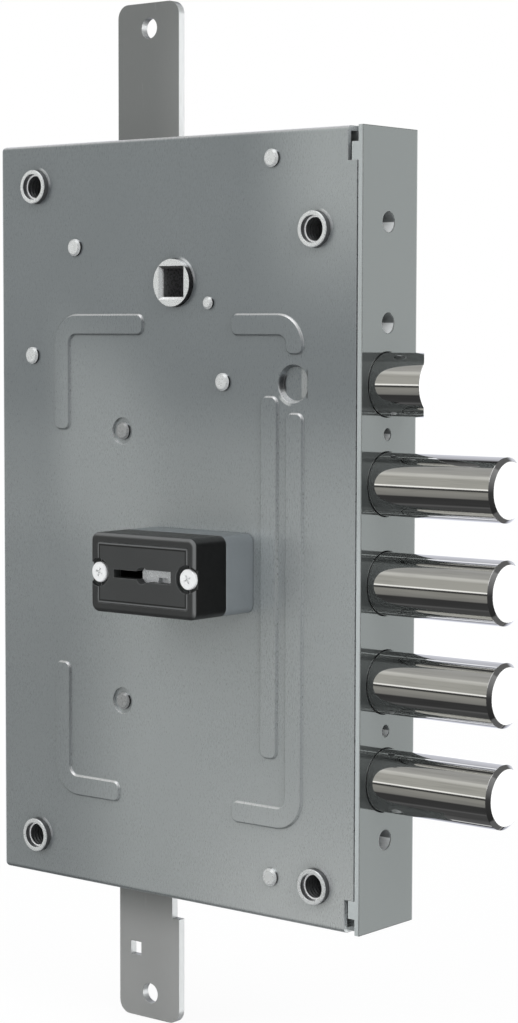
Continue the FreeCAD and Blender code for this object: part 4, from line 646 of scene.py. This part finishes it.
def chrome(name):
    """Bright plating with hairline polish marks and a few dull spots."""
    look = finishes()
    material, f = new_finish(name)
    hair = f.noise(f.place(scale=(12, 1, 1)), scale=1300, roughness=0.6)
    haze = f.spread(f.noise(f.place(), scale=120, detail=3, roughness=0.6), 0.55, 0.8)
    crossed = f.place(scale=(1, 9, 9), turn=(0.2, 0, 0.1))
    scratch = f.spread(f.noise(crossed, scale=420, detail=3, roughness=0.7), 0.7, 0.78)
    along = f.place(scale=(0.05, 1, 1))
    streak = f.spread(f.noise(along, scale=1100, roughness=0.6), 0.42, 0.7)
    out, _, _ = f.facing()
    tone = f.mix(haze * look.wear * 0.2, look.chrome, CHROME_HAZE)
    tone = f.mix(streak * f.spread(out, 0.5, 0.2) * 0.16, tone, CHROME_STREAK)
    rough = 0.03 + haze * look.wear * 0.1 + scratch * look.wear * 0.08
    edges = f.soft_edge(radius=0.25 * MM)
    normal = f.bump(hair, distance=0.0012 * MM, strength=0.35, normal=edges)
    f.surface(Base_Color=tone, Metallic=1.0, Roughness=rough, Normal=normal)
    return material


def turned_steel(name, base, smooth=0.22, dull=0.36, metallic=0.9, rubbed=0.5, shades=None):
    """Turned or stamped steel with a fine satin between two roughnesses and worn bright edges."""
    look = finishes()
    material, f = new_finish(name)
    here = f.place()
    fine = f.noise(here, scale=1100, detail=3, roughness=0.65)
    stain = f.spread(f.noise(here, scale=160, detail=3, roughness=0.6), 0.5, 0.8)
    edge = f.worn_edge(radius=0.3 * MM)
    tone = f.mix(stain * look.wear * 0.2, base, scaled(base, STAIN_SHARE))
    tone = f.mix(edge * rubbed, tone, TURNED_EDGE)
    if shades:
        tone = shades(f, tone)
    rough = f.spread(fine, 0.3, 0.7, smooth, dull) + stain * 0.08
    edges = f.soft_edge(radius=0.2 * MM)
    normal = f.bump(fine, distance=0.002 * MM, strength=0.3, normal=edges)
    f.surface(Base_Color=tone, Metallic=metallic, Roughness=rough, Normal=normal)
    return material


def sprung_steel(name):
    """Hard drawn wire and strip of the springs."""
    return turned_steel(name, finishes().spring, smooth=0.22, dull=0.34)


def dark_sides(f, tone):
    """Painted shade on the sides of heads, and a painted glint at their upper right."""
    across, out, up = f.facing()
    side = f.spread(abs(out), 0.6, 0.3)
    tone = f.mix(side, tone, HEAD_SHADE)
    glint = side * f.spread(across * 0.45 + up * 0.89, 0.9, 0.98)
    return f.mix(glint, tone, HEAD_GLINT)


def socket_shades(f, tone):
    """The square socket: painted shade inside and on the upper lip, painted light on the left wall and
    lower lip.
    """
    low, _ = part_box("handle_follower")
    x, y, z = f.parts(f.place())
    across = abs(x - HUB[0])
    tall = abs(z - HUB[1])
    right, out, up = f.facing()
    lead = HUB_LEAD + 0.04 * MM
    inside = f.spread(across, lead, HUB_LEAD) * f.spread(tall, lead, HUB_LEAD)
    wall = f.spread(abs(out), 0.6, 0.3) * inside
    tone = dark_sides(f, tone)
    deep = f.spread(y, low.y + 1.3 * MM, low.y + 1.5 * MM) * inside
    tone = f.mix(wall * f.spread(right, 0.5, 0.9), tone, WHITE)
    lip = f.within(out, -0.85, -0.5, soft=0.1) * inside
    tone = f.mix(lip * f.spread(up, 0.4, 0.6), tone, WHITE)
    tone = f.mix(lip * f.spread(up, -0.4, -0.6), tone, SOCKET_LIP_SHADE)
    return f.mix(deep, tone, SOCKET_FLOOR_SHADE)


def bar_steel(name):
    """Flat bar of the rods: brushed along its length, with slide marks; painted light in zones and on
    right sides.
    """
    look = finishes()
    material, f = new_finish(name)
    here = f.place()
    brushed = f.noise(f.place(scale=(16, 16, 1)), scale=260, detail=3, roughness=0.65)
    cloud = f.spread(f.noise(here, scale=24), 0.3, 0.7)
    slid = f.place(scale=(6, 6, 0.6))
    rub = f.spread(f.noise(slid, scale=110, roughness=0.6), 0.62, 0.75)
    x, _, z = f.parts(here)
    right, _, _ = f.facing()
    # Painted light in zones set by height and place
    glow = f.spread(x, -90 * MM, -62 * MM) * f.spread(z, 170 * MM, 130 * MM) * 0.6
    glow = glow + f.spread(z, -110 * MM, -130 * MM) * 1.3
    tone = f.mix(glow * 0.6, look.rod, look.rod_light)
    tone = f.mix(cloud * 0.12, tone, ROD_CLOUD)
    tone = f.mix(rub * look.wear * 0.4, tone, ROD_RUB)
    tone = f.mix(f.worn_edge(radius=0.35 * MM) * 0.5, tone, ROD_EDGE)
    # Painted highlight on the sides that face right
    tone = f.mix(f.spread(right, 0.5, 0.9), tone, ROD_SIDE_HIGHLIGHT)
    rough = f.spread(brushed, 0.3, 0.7, 0.28, 0.44)
    edges = f.soft_edge(radius=0.3 * MM)
    normal = f.bump(brushed, distance=0.006 * MM, strength=0.4, normal=edges)
    f.surface(Base_Color=tone, Metallic=0.6, Roughness=rough, Normal=normal)
    return material


def brass(name):
    """Stamped brass sheet with rolled grain and tarnish."""
    look = finishes()
    material, f = new_finish(name)
    rolled = f.noise(f.place(scale=(14, 1, 1)), scale=420, detail=3, roughness=0.6)
    tarnish = f.spread(f.noise(f.place(), scale=70, detail=4, roughness=0.6), 0.45, 0.75)
    tone = f.mix(tarnish * 0.45, look.brass, TARNISH)
    tone = f.mix(f.worn_edge(radius=0.25 * MM) * 0.5, tone, BRASS_EDGE)
    rough = f.spread(rolled, 0.3, 0.7, 0.26, 0.4) + tarnish * 0.15
    edges = f.soft_edge(radius=0.15 * MM)
    normal = f.bump(rolled, distance=0.006 * MM, strength=0.35, normal=edges)
    f.surface(Base_Color=tone, Metallic=1.0, Roughness=rough, Normal=normal)
    return material


# Coats of the key core

def painted(name, base, worn, smooth, dull, shades=None, shine=0.5):
    """Satin coat on a cast body: fine orange peel, and paler where hands rub its edges."""
    look = finishes()
    material, f = new_finish(name)
    here = f.place()
    peel = f.noise(here, scale=650, roughness=0.55)
    cloud = f.spread(f.noise(here, scale=60, detail=3, roughness=0.55), 0.35, 0.7)
    rubbed = f.spread(f.noise(here, scale=300, detail=3, roughness=0.6), 0.35, 0.6)
    edge = f.worn_edge(radius=0.5 * MM)
    tone = f.mix(cloud * 0.3, base, scaled(base, CLOUD_SHARE))
    tone = f.mix(edge * (0.2 + rubbed * look.wear), tone, worn)
    if shades:
        tone = shades(f, tone)
    rough = f.spread(peel, 0.3, 0.7, smooth, dull) + cloud * 0.04
    edges = f.soft_edge(radius=0.35 * MM)
    normal = f.bump(peel, distance=0.008 * MM, strength=0.4, normal=edges)
    f.surface(
        Base_Color=tone, Metallic=0.0, Roughness=rough, Normal=normal, Specular_IOR_Level=shine
    )
    return material


def cap_shades(f, tone):
    """A painted highlight along the rounding at the cap's front, and painted shade on its right side.
    """
    right, out, up = f.facing()
    turn = f.within(out, -0.93, -0.45, soft=0.15)
    tone = f.mix(turn * f.spread(up + right, -0.2, 0.6) * 0.6, tone, CAP_ROUNDING_HIGHLIGHT)
    return f.mix(f.spread(right, 0.8, 0.97), tone, CAP_SIDE_SHADE)


def face_shades(f, tone):
    """A painted highlight in a thin line along the edge of the face plate, and painted shade just
    inside it.
    """
    low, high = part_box("core_face_plate")
    x, _, z = f.parts(f.place())
    across = (high.x - low.x) / 2 - abs(x - (low.x + high.x) / 2)
    tall = (high.z - low.z) / 2 - abs(z - (low.z + high.z) / 2)
    border = across.least(tall)
    line = f.within(border, 0.0, 0.35 * MM, soft=0.1 * MM)
    groove_shade = f.within(border, 0.55 * MM, 0.85 * MM, soft=0.1 * MM)
    tone = f.mix(line * 0.8, tone, PLATE_LINE_HIGHLIGHT)
    return f.mix(groove_shade * 0.8, tone, PLATE_GROOVE_SHADE)


# Shapes made here

def open_edges(bm, depth=None):
    """Edges with one face only, all of them or those at a depth."""
    found = [edge for edge in bm.edges if edge.is_boundary]
    if depth is None:
        return found
    return [edge for edge in found if all(abs(v.co.y - depth) < TINY for v in edge.verts)]


def close(bm):
    """Joins doubled vertices, fills open ends and turns the faces outwards."""
    bmesh.ops.remove_doubles(bm, verts=bm.verts, dist=TINY)
    bmesh.ops.holes_fill(bm, edges=open_edges(bm), sides=0)
    bmesh.ops.recalc_face_normals(bm, faces=bm.faces)


def thread(bm, x, z, wall, depth, pitch, start, end):
    """The wall of an inner thread between two depths, open at both ends."""
    turns = math.ceil((end - start) / pitch) + SPARE_TURNS
    first = start - pitch * SPARE_TURNS / 2
    chain = []
    for turn in range(turns):
        for along, out in THREAD_FORM:
            spot = (x + wall + out * depth, first + (turn + along) * pitch, z)
            chain.append(bm.verts.new(spot))
    edges = [bm.edges.new(pair) for pair in zip(chain, chain[1:])]
    bmesh.ops.spin(
        bm, geom=chain + edges, cent=(x, 0, z), axis=(0, 1, 0), dvec=(0, pitch / THREAD_STEPS, 0),
        angle=2 * math.pi, steps=THREAD_STEPS,
    )
    bmesh.ops.remove_doubles(bm, verts=bm.verts, dist=TINY)
    for y, side in ((start, -1), (end, 1)):
        everything = [*bm.verts, *bm.edges, *bm.faces]
        bmesh.ops.bisect_plane(
            bm, geom=everything, plane_co=(0, y, 0), plane_no=(0, side, 0), clear_outer=True
        )


def coil(bm, centre, along, radius, wire, length, turns, steps=20):
    """A wire spring in an empty bmesh that starts at a centre and runs along X or Z."""
    along = Vector(along)
    out = Vector((along.z, 0, along.x)) * radius
    place = Matrix.Translation(Vector(centre) + along * wire + out)
    turned = place @ Matrix.Rotation(math.pi / 2, 4, "X")
    bmesh.ops.create_circle(bm, segments=WIRE_SIDES, radius=wire, matrix=turned)
    count = turns * steps
    bmesh.ops.spin(
        bm, geom=[*bm.verts, *bm.edges], cent=centre, axis=along,
        dvec=along * ((length - 2 * wire) / count), angle=2 * math.pi * turns, steps=count,
    )
    close(bm)


def fitted_grid(bm, across, up, depth):
    """A flat grid that faces -Y, with its lines at the given places."""
    turn = Matrix.Rotation(math.pi / 2, 4, "X")
    columns = len(across) - 1
    rows = len(up) - 1
    made = bmesh.ops.create_grid(bm, x_segments=columns, y_segments=rows, size=1, matrix=turn)
    for vert in made["verts"]:
        column = round((vert.co.x + 1) / 2 * columns)
        row = round((vert.co.z + 1) / 2 * rows)
        vert.co = (across[column], depth, up[row])
    return list(dict.fromkeys(face for vert in made["verts"] for face in vert.link_faces))


def pushed(bm, faces, depth, keep=False):
    """Extrudes faces and moves the new ones along Y; the old ones stay or go."""
    made = bmesh.ops.extrude_face_region(bm, geom=faces)
    verts = [item for item in made["geom"] if isinstance(item, bmesh.types.BMVert)]
    bmesh.ops.translate(bm, verts=verts, vec=(0, depth, 0))
    if not keep:
        bmesh.ops.delete(bm, geom=faces, context="FACES")


def grown(bm, edges, corners, x, z):
    """Extends an open loop about an axis along Y through radius and depth corners."""
    for radius, depth in corners:
        made = bmesh.ops.extrude_edge_only(bm, edges=edges)["geom"]
        for vert in [item for item in made if isinstance(item, bmesh.types.BMVert)]:
            way = Vector((vert.co.x - x, 0, vert.co.z - z)).normalized()
            vert.co = Vector((x, depth, z)) + radius * way
        edges = [item for item in made if isinstance(item, bmesh.types.BMEdge) and item.is_boundary]


def add_mesh(context, name, bm):
    """Turns a bmesh into an object at the origin, with its faces in a fixed order."""
    bm.verts.index_update()
    rings = []
    for face in bm.faces:
        ring = [vert.index for vert in face.verts]
        first = ring.index(min(ring))
        rings.append((ring[first:] + ring[:first], face.material_index))
    rings.sort()
    mesh = bpy.data.meshes.new(name)
    mesh.from_pydata([vert.co for vert in bm.verts], [], [ring for ring, _ in rings])
    for face, (_, slot) in zip(mesh.polygons, rings):
        face.material_index = slot
    bm.free()
    made = bpy.data.objects.new(name, mesh)
    context.scene.collection.objects.link(made)
    return made


def add_piece(context, name, bm, materials, body, node):
    """A piece that rides on a body, stands in for a node that it hides, and takes the given materials.
    """
    made = add_mesh(context, name, bm)
    for material in materials:
        made.data.materials.append(material)
    for face in made.data.polygons:
        face.use_smooth = True
    made.data.set_sharp_from_angle(angle=SHARP_ANGLE)
    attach(made, body)
    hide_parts(node)
    return made


def add_spring(context, name, bm, steel, node, slide, axis):
    """A spring on the case for a node, with its own mesh; the length it would keep is worked out, not
    used.
    """
    spring = add_piece(context, name, bm, [steel], "case", node)
    low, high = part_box(node)
    ends = next(joint["range_m"] for joint in frame["joints"] if joint["name"] == slide)
    keep = 1 - (ends[1] - ends[0]) / (high - low).dot(Vector(axis))
    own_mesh(spring)


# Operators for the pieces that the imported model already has

class LockOperator(bpy.types.Operator):
    """Base of the lock's operators: one undo step each."""

    bl_options = {"REGISTER", "UNDO"}


class LOCK_OT_dress_case(LockOperator):
    """Gives the folded case and its cover their zinc-plated sheet"""

    bl_idname = "lock.dress_case"
    bl_label = "Dress Case"

    def execute(self, context):
        look = finishes()
        light = look.cover_light
        across = (0, 0.5 * math.pi, 0)
        cover = sheet_steel("cover_steel", look.cover, light, across, cover_shades)
        case = sheet_steel("plate_steel", look.case, light, (0, 0, 0), case_shades, plate_polish)
        coat(cover, "front_cover")
        coat(case, "lock_case")
        return {"FINISHED"}


class LOCK_OT_dress_bolts(LockOperator):
    """Gives the round bolts and the latch their bright plating"""

    bl_idname = "lock.dress_bolts"
    bl_label = "Dress Bolts"

    def execute(self, context):
        bolts = [name for name in NODES if name.startswith("bolt_") and name != "bolt_screws"]
        coat(chrome("bolt_chrome"), *bolts, "latch_bolt")
        return {"FINISHED"}


class LOCK_OT_dress_rods(LockOperator):
    """Gives the two flat rods their brushed steel"""

    bl_idname = "lock.dress_rods"
    bl_label = "Dress Rods"

    def execute(self, context):
        coat(bar_steel("rod_steel"), "top_rod", "bottom_rod")
        return {"FINISHED"}


class LOCK_OT_dress_heads(LockOperator):
    """Gives rivet heads, gear axles and the handle hub their turned steel"""

    bl_idname = "lock.dress_heads"
    bl_label = "Dress Heads"

    def execute(self, context):
        steel = finishes().fitting
        grey = scaled(steel, AXLE_SHARE)
        bright = turned_steel("head_steel", steel, metallic=0.5, shades=dark_sides)
        # The gear axles' heads take the head steel at half its tone
        dull = turned_steel("axle_steel", grey, metallic=0.5, shades=dark_sides)
        hub = turned_steel("hub_steel", steel, metallic=0.5, shades=socket_shades)
        coat(bright, "cover_posts", "latch_guide_post", "follower_stop_post")
        coat(dull, "upper_gear_axle", "lower_gear_axle")
        coat(hub, "handle_follower")
        return {"FINISHED"}


class LOCK_OT_dress_core(LockOperator):
    """Gives the key core its grey body, black cap, face plate and guard"""

    bl_idname = "lock.dress_core"
    bl_label = "Dress Key Core"

    def execute(self, context):
        look = finishes()
        body = painted("core_grey", look.housing, WORN_HOUSING, smooth=0.36, dull=0.5)
        cap = painted(
            "core_black", look.cap, WORN_CAP, smooth=0.36, dull=0.46, shades=cap_shades, shine=0.3
        )
        face = painted(
            "face_black", look.plate, WORN_CAP, smooth=0.38, dull=0.5, shades=face_shades, shine=0.3
        )
        coat(body, "core_housing")
        coat(cap, "core_cover")
        coat(face, "core_face_plate")
        coat(turned_steel("guard_steel", GUARD, smooth=0.3, dull=0.45), "drill_guard")
        return {"FINISHED"}


class LOCK_OT_dress_inside(LockOperator):
    """Gives the carriage, gears and other inner pieces plain steel, and the levers brass"""

    bl_idname = "lock.dress_inside"
    bl_label = "Dress Mechanism"

    def execute(self, context):
        plain = turned_steel(
            "inner_steel", finishes().inner, smooth=0.3, dull=0.45, metallic=0.85, rubbed=0.4
        )
        coat(
            plain, "carriage_plate", "bolt_screws", "deadlock_stump", "carriage_guide_studs",
            "upper_gear", "lower_gear", "latch_tail", "latch_drive_pin", "latch_spring_bracket",
            "key_rotor", "lever_guide_posts", "lever_keeper",
        )
        coat(brass("lever_brass"), *LEVERS)
        return {"FINISHED"}


# Operators for the pieces that are made here

class LOCK_OT_add_fixing_bushes(LockOperator):
    """Adds the four fixing bushes with their counterbores and threads"""

    bl_idname = "lock.add_fixing_bushes"
    bl_label = "Add Fixing Bushes"

    def execute(self, context):
        look = finishes()
        # The ring's steel, a dark copy as painted shade, and a white one as painted light
        ring = turned_steel("bush_ring_steel", look.fitting, metallic=0.5)
        bore_shade = turned_steel(
            "bush_thread_steel", look.bore_shade, smooth=0.3, dull=0.45, metallic=0.6, rubbed=0.15
        )
        seat = turned_steel("bush_seat_steel", WHITE, metallic=0.0)
        for node in BUSHES:
            bm = self.bush(*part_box(node))
            add_piece(context, "threaded_" + node, bm, (ring, bore_shade, seat), "case", node)
        return {"FINISHED"}

    def bush(self, low, high):
        """One bush: its thread, the outer skin from the counterbore on, and the tail's ring."""
        size = fittings()
        x = (low.x + high.x) / 2
        z = (low.z + high.z) / 2
        outer = (high.x - low.x) / 2
        half_rim = size.rim / 2
        seat = low.y + size.counter_depth
        first = seat + size.thread_depth
        step = high.y - size.tail_depth
        bm = bmesh.new()
        thread(bm, x, z, size.thread_wall, size.thread_depth, size.thread_pitch, first, high.y)
        grown(bm, open_edges(bm, first), [
            (size.thread_wall, seat),
            (size.counter, seat),
            (size.counter, low.y + half_rim),
            (size.counter + half_rim, low.y),
            (outer - size.rim, low.y),
            (outer, low.y + size.rim),
            (outer, step),
            (size.bush_tail, step),
        ], x, z)
        grown(bm, open_edges(bm, high.y), [
            (size.bush_tail - half_rim, high.y),
            (size.bush_tail, high.y - half_rim),
        ], x, z)
        bmesh.ops.bridge_loops(bm, edges=open_edges(bm))
        close(bm)
        # Bore and outer side faces take the painted shade, the counterbore's floor the painted light
        for face in bm.faces:
            spot = face.calc_center_median()
            apart = math.hypot(spot.x - x, spot.z - z)
            flat = abs(face.normal.y) > 0.9
            floor = flat and abs(spot.y - seat) < TINY
            bore_shade = apart < size.counter + TINY and not (flat and spot.y < seat + TINY)
            side = apart > outer - half_rim and not flat
            face.material_index = 2 if floor else int(bore_shade or side)
        return bm


class LOCK_OT_add_core_screws(LockOperator):
    """Adds the two core screws with their cross slots"""

    bl_idname = "lock.add_core_screws"
    bl_label = "Add Core Screws"

    def execute(self, context):
        size = fittings()
        low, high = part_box("core_screws")
        head = (high.z - low.z) / 2
        z = (low.z + high.z) / 2
        bm = bmesh.new()
        for x, turn in zip((low.x + head, high.x - head), SLOT_TURNS):
            self.slotted_top(bm, (x, low.y, z), turn)
            grown(bm, open_edges(bm), [
                (head - size.rim, low.y),
                (head, low.y + size.rim),
                (head, low.y + size.head_depth),
                (size.shank, low.y + size.head_depth),
                (size.shank, high.y - size.shank / 2),
                (size.shank / 2, high.y),
            ], x, z)
            close(bm)
        bright = turned_steel(
            "screw_white", finishes().screw, smooth=0.3, dull=0.42, metallic=0.15, rubbed=0.2
        )
        add_piece(context, "cross_slot_screws", bm, [bright], "case", "core_screws")
        return {"FINISHED"}

    def slotted_top(self, bm, centre, turn):
        """The middle of a screw's head with its cross slot."""
        size = fittings()
        half = size.slot_width / 2
        reach = size.slot_reach / 2
        edge = reach + size.slot_width / 3
        lines = (-edge, -reach, -half, half, reach, edge)
        others = set(bm.verts)
        faces = fitted_grid(bm, lines, lines, centre[1])
        pushed(bm, [face for face in faces if self.in_cross(face, half, reach)], size.slot_depth)
        place = Matrix.Translation((centre[0], 0, centre[2])) @ Matrix.Rotation(turn, 4, "Y")
        own = [vert for vert in bm.verts if vert not in others]
        bmesh.ops.transform(bm, matrix=place, verts=own)
        bmesh.ops.subdivide_edges(bm, edges=open_edges(bm), cuts=1)

    @staticmethod
    def in_cross(face, half, reach):
        """Whether a grid face lies in the cross slot."""
        spot = face.calc_center_median()
        across = abs(spot.x)
        up = abs(spot.z)
        return max(across, up) < reach and min(across, up) < half


class LOCK_OT_add_shutter(LockOperator):
    """Adds the keyhole's shutter with the recess in its face, and its spring"""

    bl_idname = "lock.add_shutter"
    bl_label = "Add Shutter"

    def execute(self, context):
        low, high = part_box("key_shutter")
        wide = high.x - low.x
        tall = high.z - low.z
        across = [low.x + wide * part for part in (0, *RECESS_ACROSS, 1)]
        up = [low.z + tall * part for part in (0, RECESS_TOP, 1)]
        bm = bmesh.new()
        faces = fitted_grid(bm, across, up, low.y)
        pushed(bm, faces, high.y - low.y, keep=True)
        front = [face for face in bm.faces if abs(face.calc_center_median().y - low.y) < TINY]
        recess = [face for face in front if self.in_recess(face, across, up)]
        pushed(bm, recess, fittings().recess_depth)
        close(bm)
        steel = turned_steel(
            "shutter_face_steel", finishes().shutter, smooth=0.24, dull=0.3, metallic=0.25, rubbed=0.25
        )
        add_piece(context, "shutter_face", bm, [steel], "key_shutter", "key_shutter")
        self.add_shutter_spring(context)
        return {"FINISHED"}

    def add_shutter_spring(self, context):
        """The small coil above the shutter."""
        wire = fittings().shutter_wire
        low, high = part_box("shutter_spring")
        middle = (low + high) / 2
        foot = Vector((middle.x, middle.y, low.z))
        bm = bmesh.new()
        coil(bm, foot, (0, 0, 1), (high.x - low.x) / 2 - wire, wire, high.z - low.z, turns=9)
        steel = sprung_steel("shutter_spring_steel")
        add_spring(
            context, "shutter_coil_spring", bm, steel, "shutter_spring",
            "shutter_slide", (0, 0, 1),
        )

    @staticmethod
    def in_recess(face, across, up):
        """Whether a front face lies in the recess of the lower half."""
        spot = face.calc_center_median()
        return across[1] < spot.x < across[2] and spot.z < up[1]


class LOCK_OT_add_latch_spring(LockOperator):
    """Adds the latch's coil spring"""

    bl_idname = "lock.add_latch_spring"
    bl_label = "Add Latch Spring"

    def execute(self, context):
        wire = fittings().latch_wire
        low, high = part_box("latch_spring")
        middle = (low + high) / 2
        foot = Vector((low.x, middle.y, middle.z))
        radius = (high.z - low.z) / 2 - wire
        bm = bmesh.new()
        coil(bm, foot, (1, 0, 0), radius, wire, high.x - low.x, turns=12, steps=24)
        steel = sprung_steel("latch_spring_steel")
        add_spring(
            context, "latch_coil_spring", bm, steel, "latch_spring",
            "latch_slide", (1, 0, 0),
        )
        return {"FINISHED"}


class LOCK_OT_add_lever_springs(LockOperator):
    """Adds the six bowed springs"""

    bl_idname = "lock.add_lever_springs"
    bl_label = "Add Lever Springs"

    def execute(self, context):
        steel = sprung_steel("lever_spring_steel")
        for lever in LEVERS:
            node = lever.replace("lever", "lever_spring")
            bm = bmesh.new()
            bm.from_mesh(NODES[node].data)
            close(bm)
            add_spring(context, "bowed_" + node, bm, steel, node, lever + "_slide", (0, 0, 1))
        return {"FINISHED"}


# Studio

class LOCK_OT_add_studio(LockOperator):
    """Adds the camera, the soft lamps, the pale floor and the white surroundings"""

    bl_idname = "lock.add_studio"
    bl_label = "Add Studio"

    def execute(self, context):
        studio = context.scene.lock_studio
        self.add_camera(context, studio)
        self.add_floor(context, studio)
        self.add_lamps(context, studio)
        self.add_surroundings(context, studio)
        context.scene.view_settings.view_transform = "Standard"
        return {"FINISHED"}

    def add_camera(self, context, studio):
        """Camera in front on the right, at a height in the upper half of the lock."""
        data = bpy.data.cameras.new("lock_camera")
        data.lens = studio.lens
        data.shift_x, data.shift_y = CAMERA_SHIFT
        camera = bpy.data.objects.new("lock_camera", data)
        camera.location = CAMERA_PLACE
        camera.rotation_euler = [math.radians(angle) for angle in CAMERA_TURN]
        context.scene.collection.objects.link(camera)
        context.scene.camera = camera

    def add_floor(self, context, studio):
        """Pale floor that keeps the shadow near the lock and runs out into white."""
        low, _ = start_box
        place = Matrix.Translation((FLOOR_CENTRE, 0, low.z - FLOOR_GAP))
        bm = bmesh.new()
        bmesh.ops.create_circle(bm, cap_ends=True, segments=64, radius=FLOOR_RADIUS, matrix=place)
        floor = add_mesh(context, "floor", bm)
        floor.visible_glossy = False
        material, f = new_finish("floor_pale")
        here = f.node("ShaderNodeTexCoord", output="Object")
        apart = f.node("ShaderNodeVectorMath", {"operation": "LENGTH"}, {0: here}, output="Value")
        near = f.spread(apart, FLOOR_FADE, FLOOR_NEAR) * (1 - studio.clear)
        pale = f.node("ShaderNodeBsdfDiffuse", {}, {"Color": studio.floor})
        white = f.node("ShaderNodeEmission", {}, {"Color": WHITE, "Strength": 1.0})
        seen = f.node("ShaderNodeLightPath", output="Is Camera Ray")
        clear = f.node("ShaderNodeMixShader", {}, {0: near, 1: white, 2: pale})
        mixed = f.node("ShaderNodeMixShader", {}, {0: seen, 1: pale, 2: clear})
        f.node("ShaderNodeOutputMaterial", {}, {"Surface": mixed})
        floor.data.materials.append(material)

    def add_lamps(self, context, studio):
        """A large soft lamp in front on the left, a low one and one at the bolts' side."""
        for name, (place, aim, size) in LAMPS.items():
            data = bpy.data.lights.new(name + "_lamp", "AREA")
            data.shape = "RECTANGLE"
            data.size, data.size_y = size
            data.energy = getattr(studio, name + "_power")
            lamp = bpy.data.objects.new(name + "_lamp", data)
            lamp.location = place
            lamp.visible_glossy = False
            way = Vector(aim) - Vector(place)
            lamp.rotation_euler = way.to_track_quat("-Z", "Y").to_euler()
            context.scene.collection.objects.link(lamp)

    def add_surroundings(self, context, studio):
        """White to the camera, even light for dull surfaces and a studio in reflections."""
        world = bpy.data.worlds.new("studio_room")
        context.scene.world = world
        world.use_nodes = True
        f = Finish(world.node_tree)
        path = f.node("ShaderNodeLightPath")
        even = scaled(SOFT_TINT, studio.soft)
        soft = f.mix(path.output("Is Glossy Ray"), even, self.reflected(f))
        seen = f.mix(path.output("Is Camera Ray"), soft, WHITE)
        shade = f.node("ShaderNodeBackground", {}, {"Color": seen, "Strength": 1.0})
        f.node("ShaderNodeOutputWorld", {}, {"Surface": shade})

    def reflected(self, f):
        """What metal mirrors: a room in front, darker at the right, and one behind with a window."""
        aside, inward, height = f.parts(f.node("ShaderNodeTexCoord", output="Generated"))
        up = f.spread(height, -1.0, 1.0, kind="LINEAR")
        right = f.spread(aside, *SIDE_BLEND)
        room = f.node("ShaderNodeValToRGB", {"stops": ROOM_STOPS}, {0: up})
        wall = f.node("ShaderNodeValToRGB", {"stops": RIGHT_STOPS}, {0: up})
        lamp = f.within(aside, -SOFTBOX_WIDTH, SOFTBOX_WIDTH, soft=SOFTBOX_WIDTH)
        lamp = lamp * f.spread(height, *SOFTBOX_FOOT)
        front = f.mix(lamp, f.mix(right, room, wall), SOFTBOX)
        window = f.mix(f.within(height, *WINDOW, soft=WINDOW_EDGE), WINDOW_FRAME, WHITE)
        back = f.node("ShaderNodeValToRGB", {"stops": BACK_STOPS}, {0: up})
        back = f.mix(1.0, f.mix(right, back, window), BACK_GAIN, "MULTIPLY")
        return f.mix(f.spread(inward, *BACK_BLEND), front, back)


# Panel and registration

class LOCK_PT_panel(bpy.types.Panel):
    """Lists the lock's operators in the sidebar."""

    bl_label = "Lever Lock"
    bl_idname = "LOCK_PT_panel"
    bl_space_type = "VIEW_3D"
    bl_region_type = "UI"
    bl_category = "Lever Lock"

    def draw(self, context):
        for operator in OPERATORS:
            self.layout.operator(operator.bl_idname)


OPERATORS = (
    LOCK_OT_dress_case,
    LOCK_OT_dress_bolts,
    LOCK_OT_dress_rods,
    LOCK_OT_dress_heads,
    LOCK_OT_dress_core,
    LOCK_OT_dress_inside,
    LOCK_OT_add_fixing_bushes,
    LOCK_OT_add_core_screws,
    LOCK_OT_add_shutter,
    LOCK_OT_add_latch_spring,
    LOCK_OT_add_lever_springs,
    LOCK_OT_add_studio,
)
GROUPS = (
    ("lock_finishes", LockFinishes),
    ("lock_fittings", LockFittings),
    ("lock_studio", LockStudio),
)


def register():
    """Registers the property groups, operators and panel."""
    for name, group in GROUPS:
        bpy.utils.register_class(group)
        setattr(bpy.types.Scene, name, PointerProperty(type=group))
    for operator in OPERATORS:
        bpy.utils.register_class(operator)
    bpy.utils.register_class(LOCK_PT_panel)


def unregister():
    """Takes them all out again."""
    bpy.utils.unregister_class(LOCK_PT_panel)
    for operator in reversed(OPERATORS):
        bpy.utils.unregister_class(operator)
    for name, group in reversed(GROUPS):
        delattr(bpy.types.Scene, name)
        bpy.utils.unregister_class(group)


def main():
    """Dresses the lock and adds what is modelled here."""
    register()
    for operator in OPERATORS:
        group, name = operator.bl_idname.split(".")
        getattr(getattr(bpy.ops, group), name)()


if __name__ == "__main__":
    main()
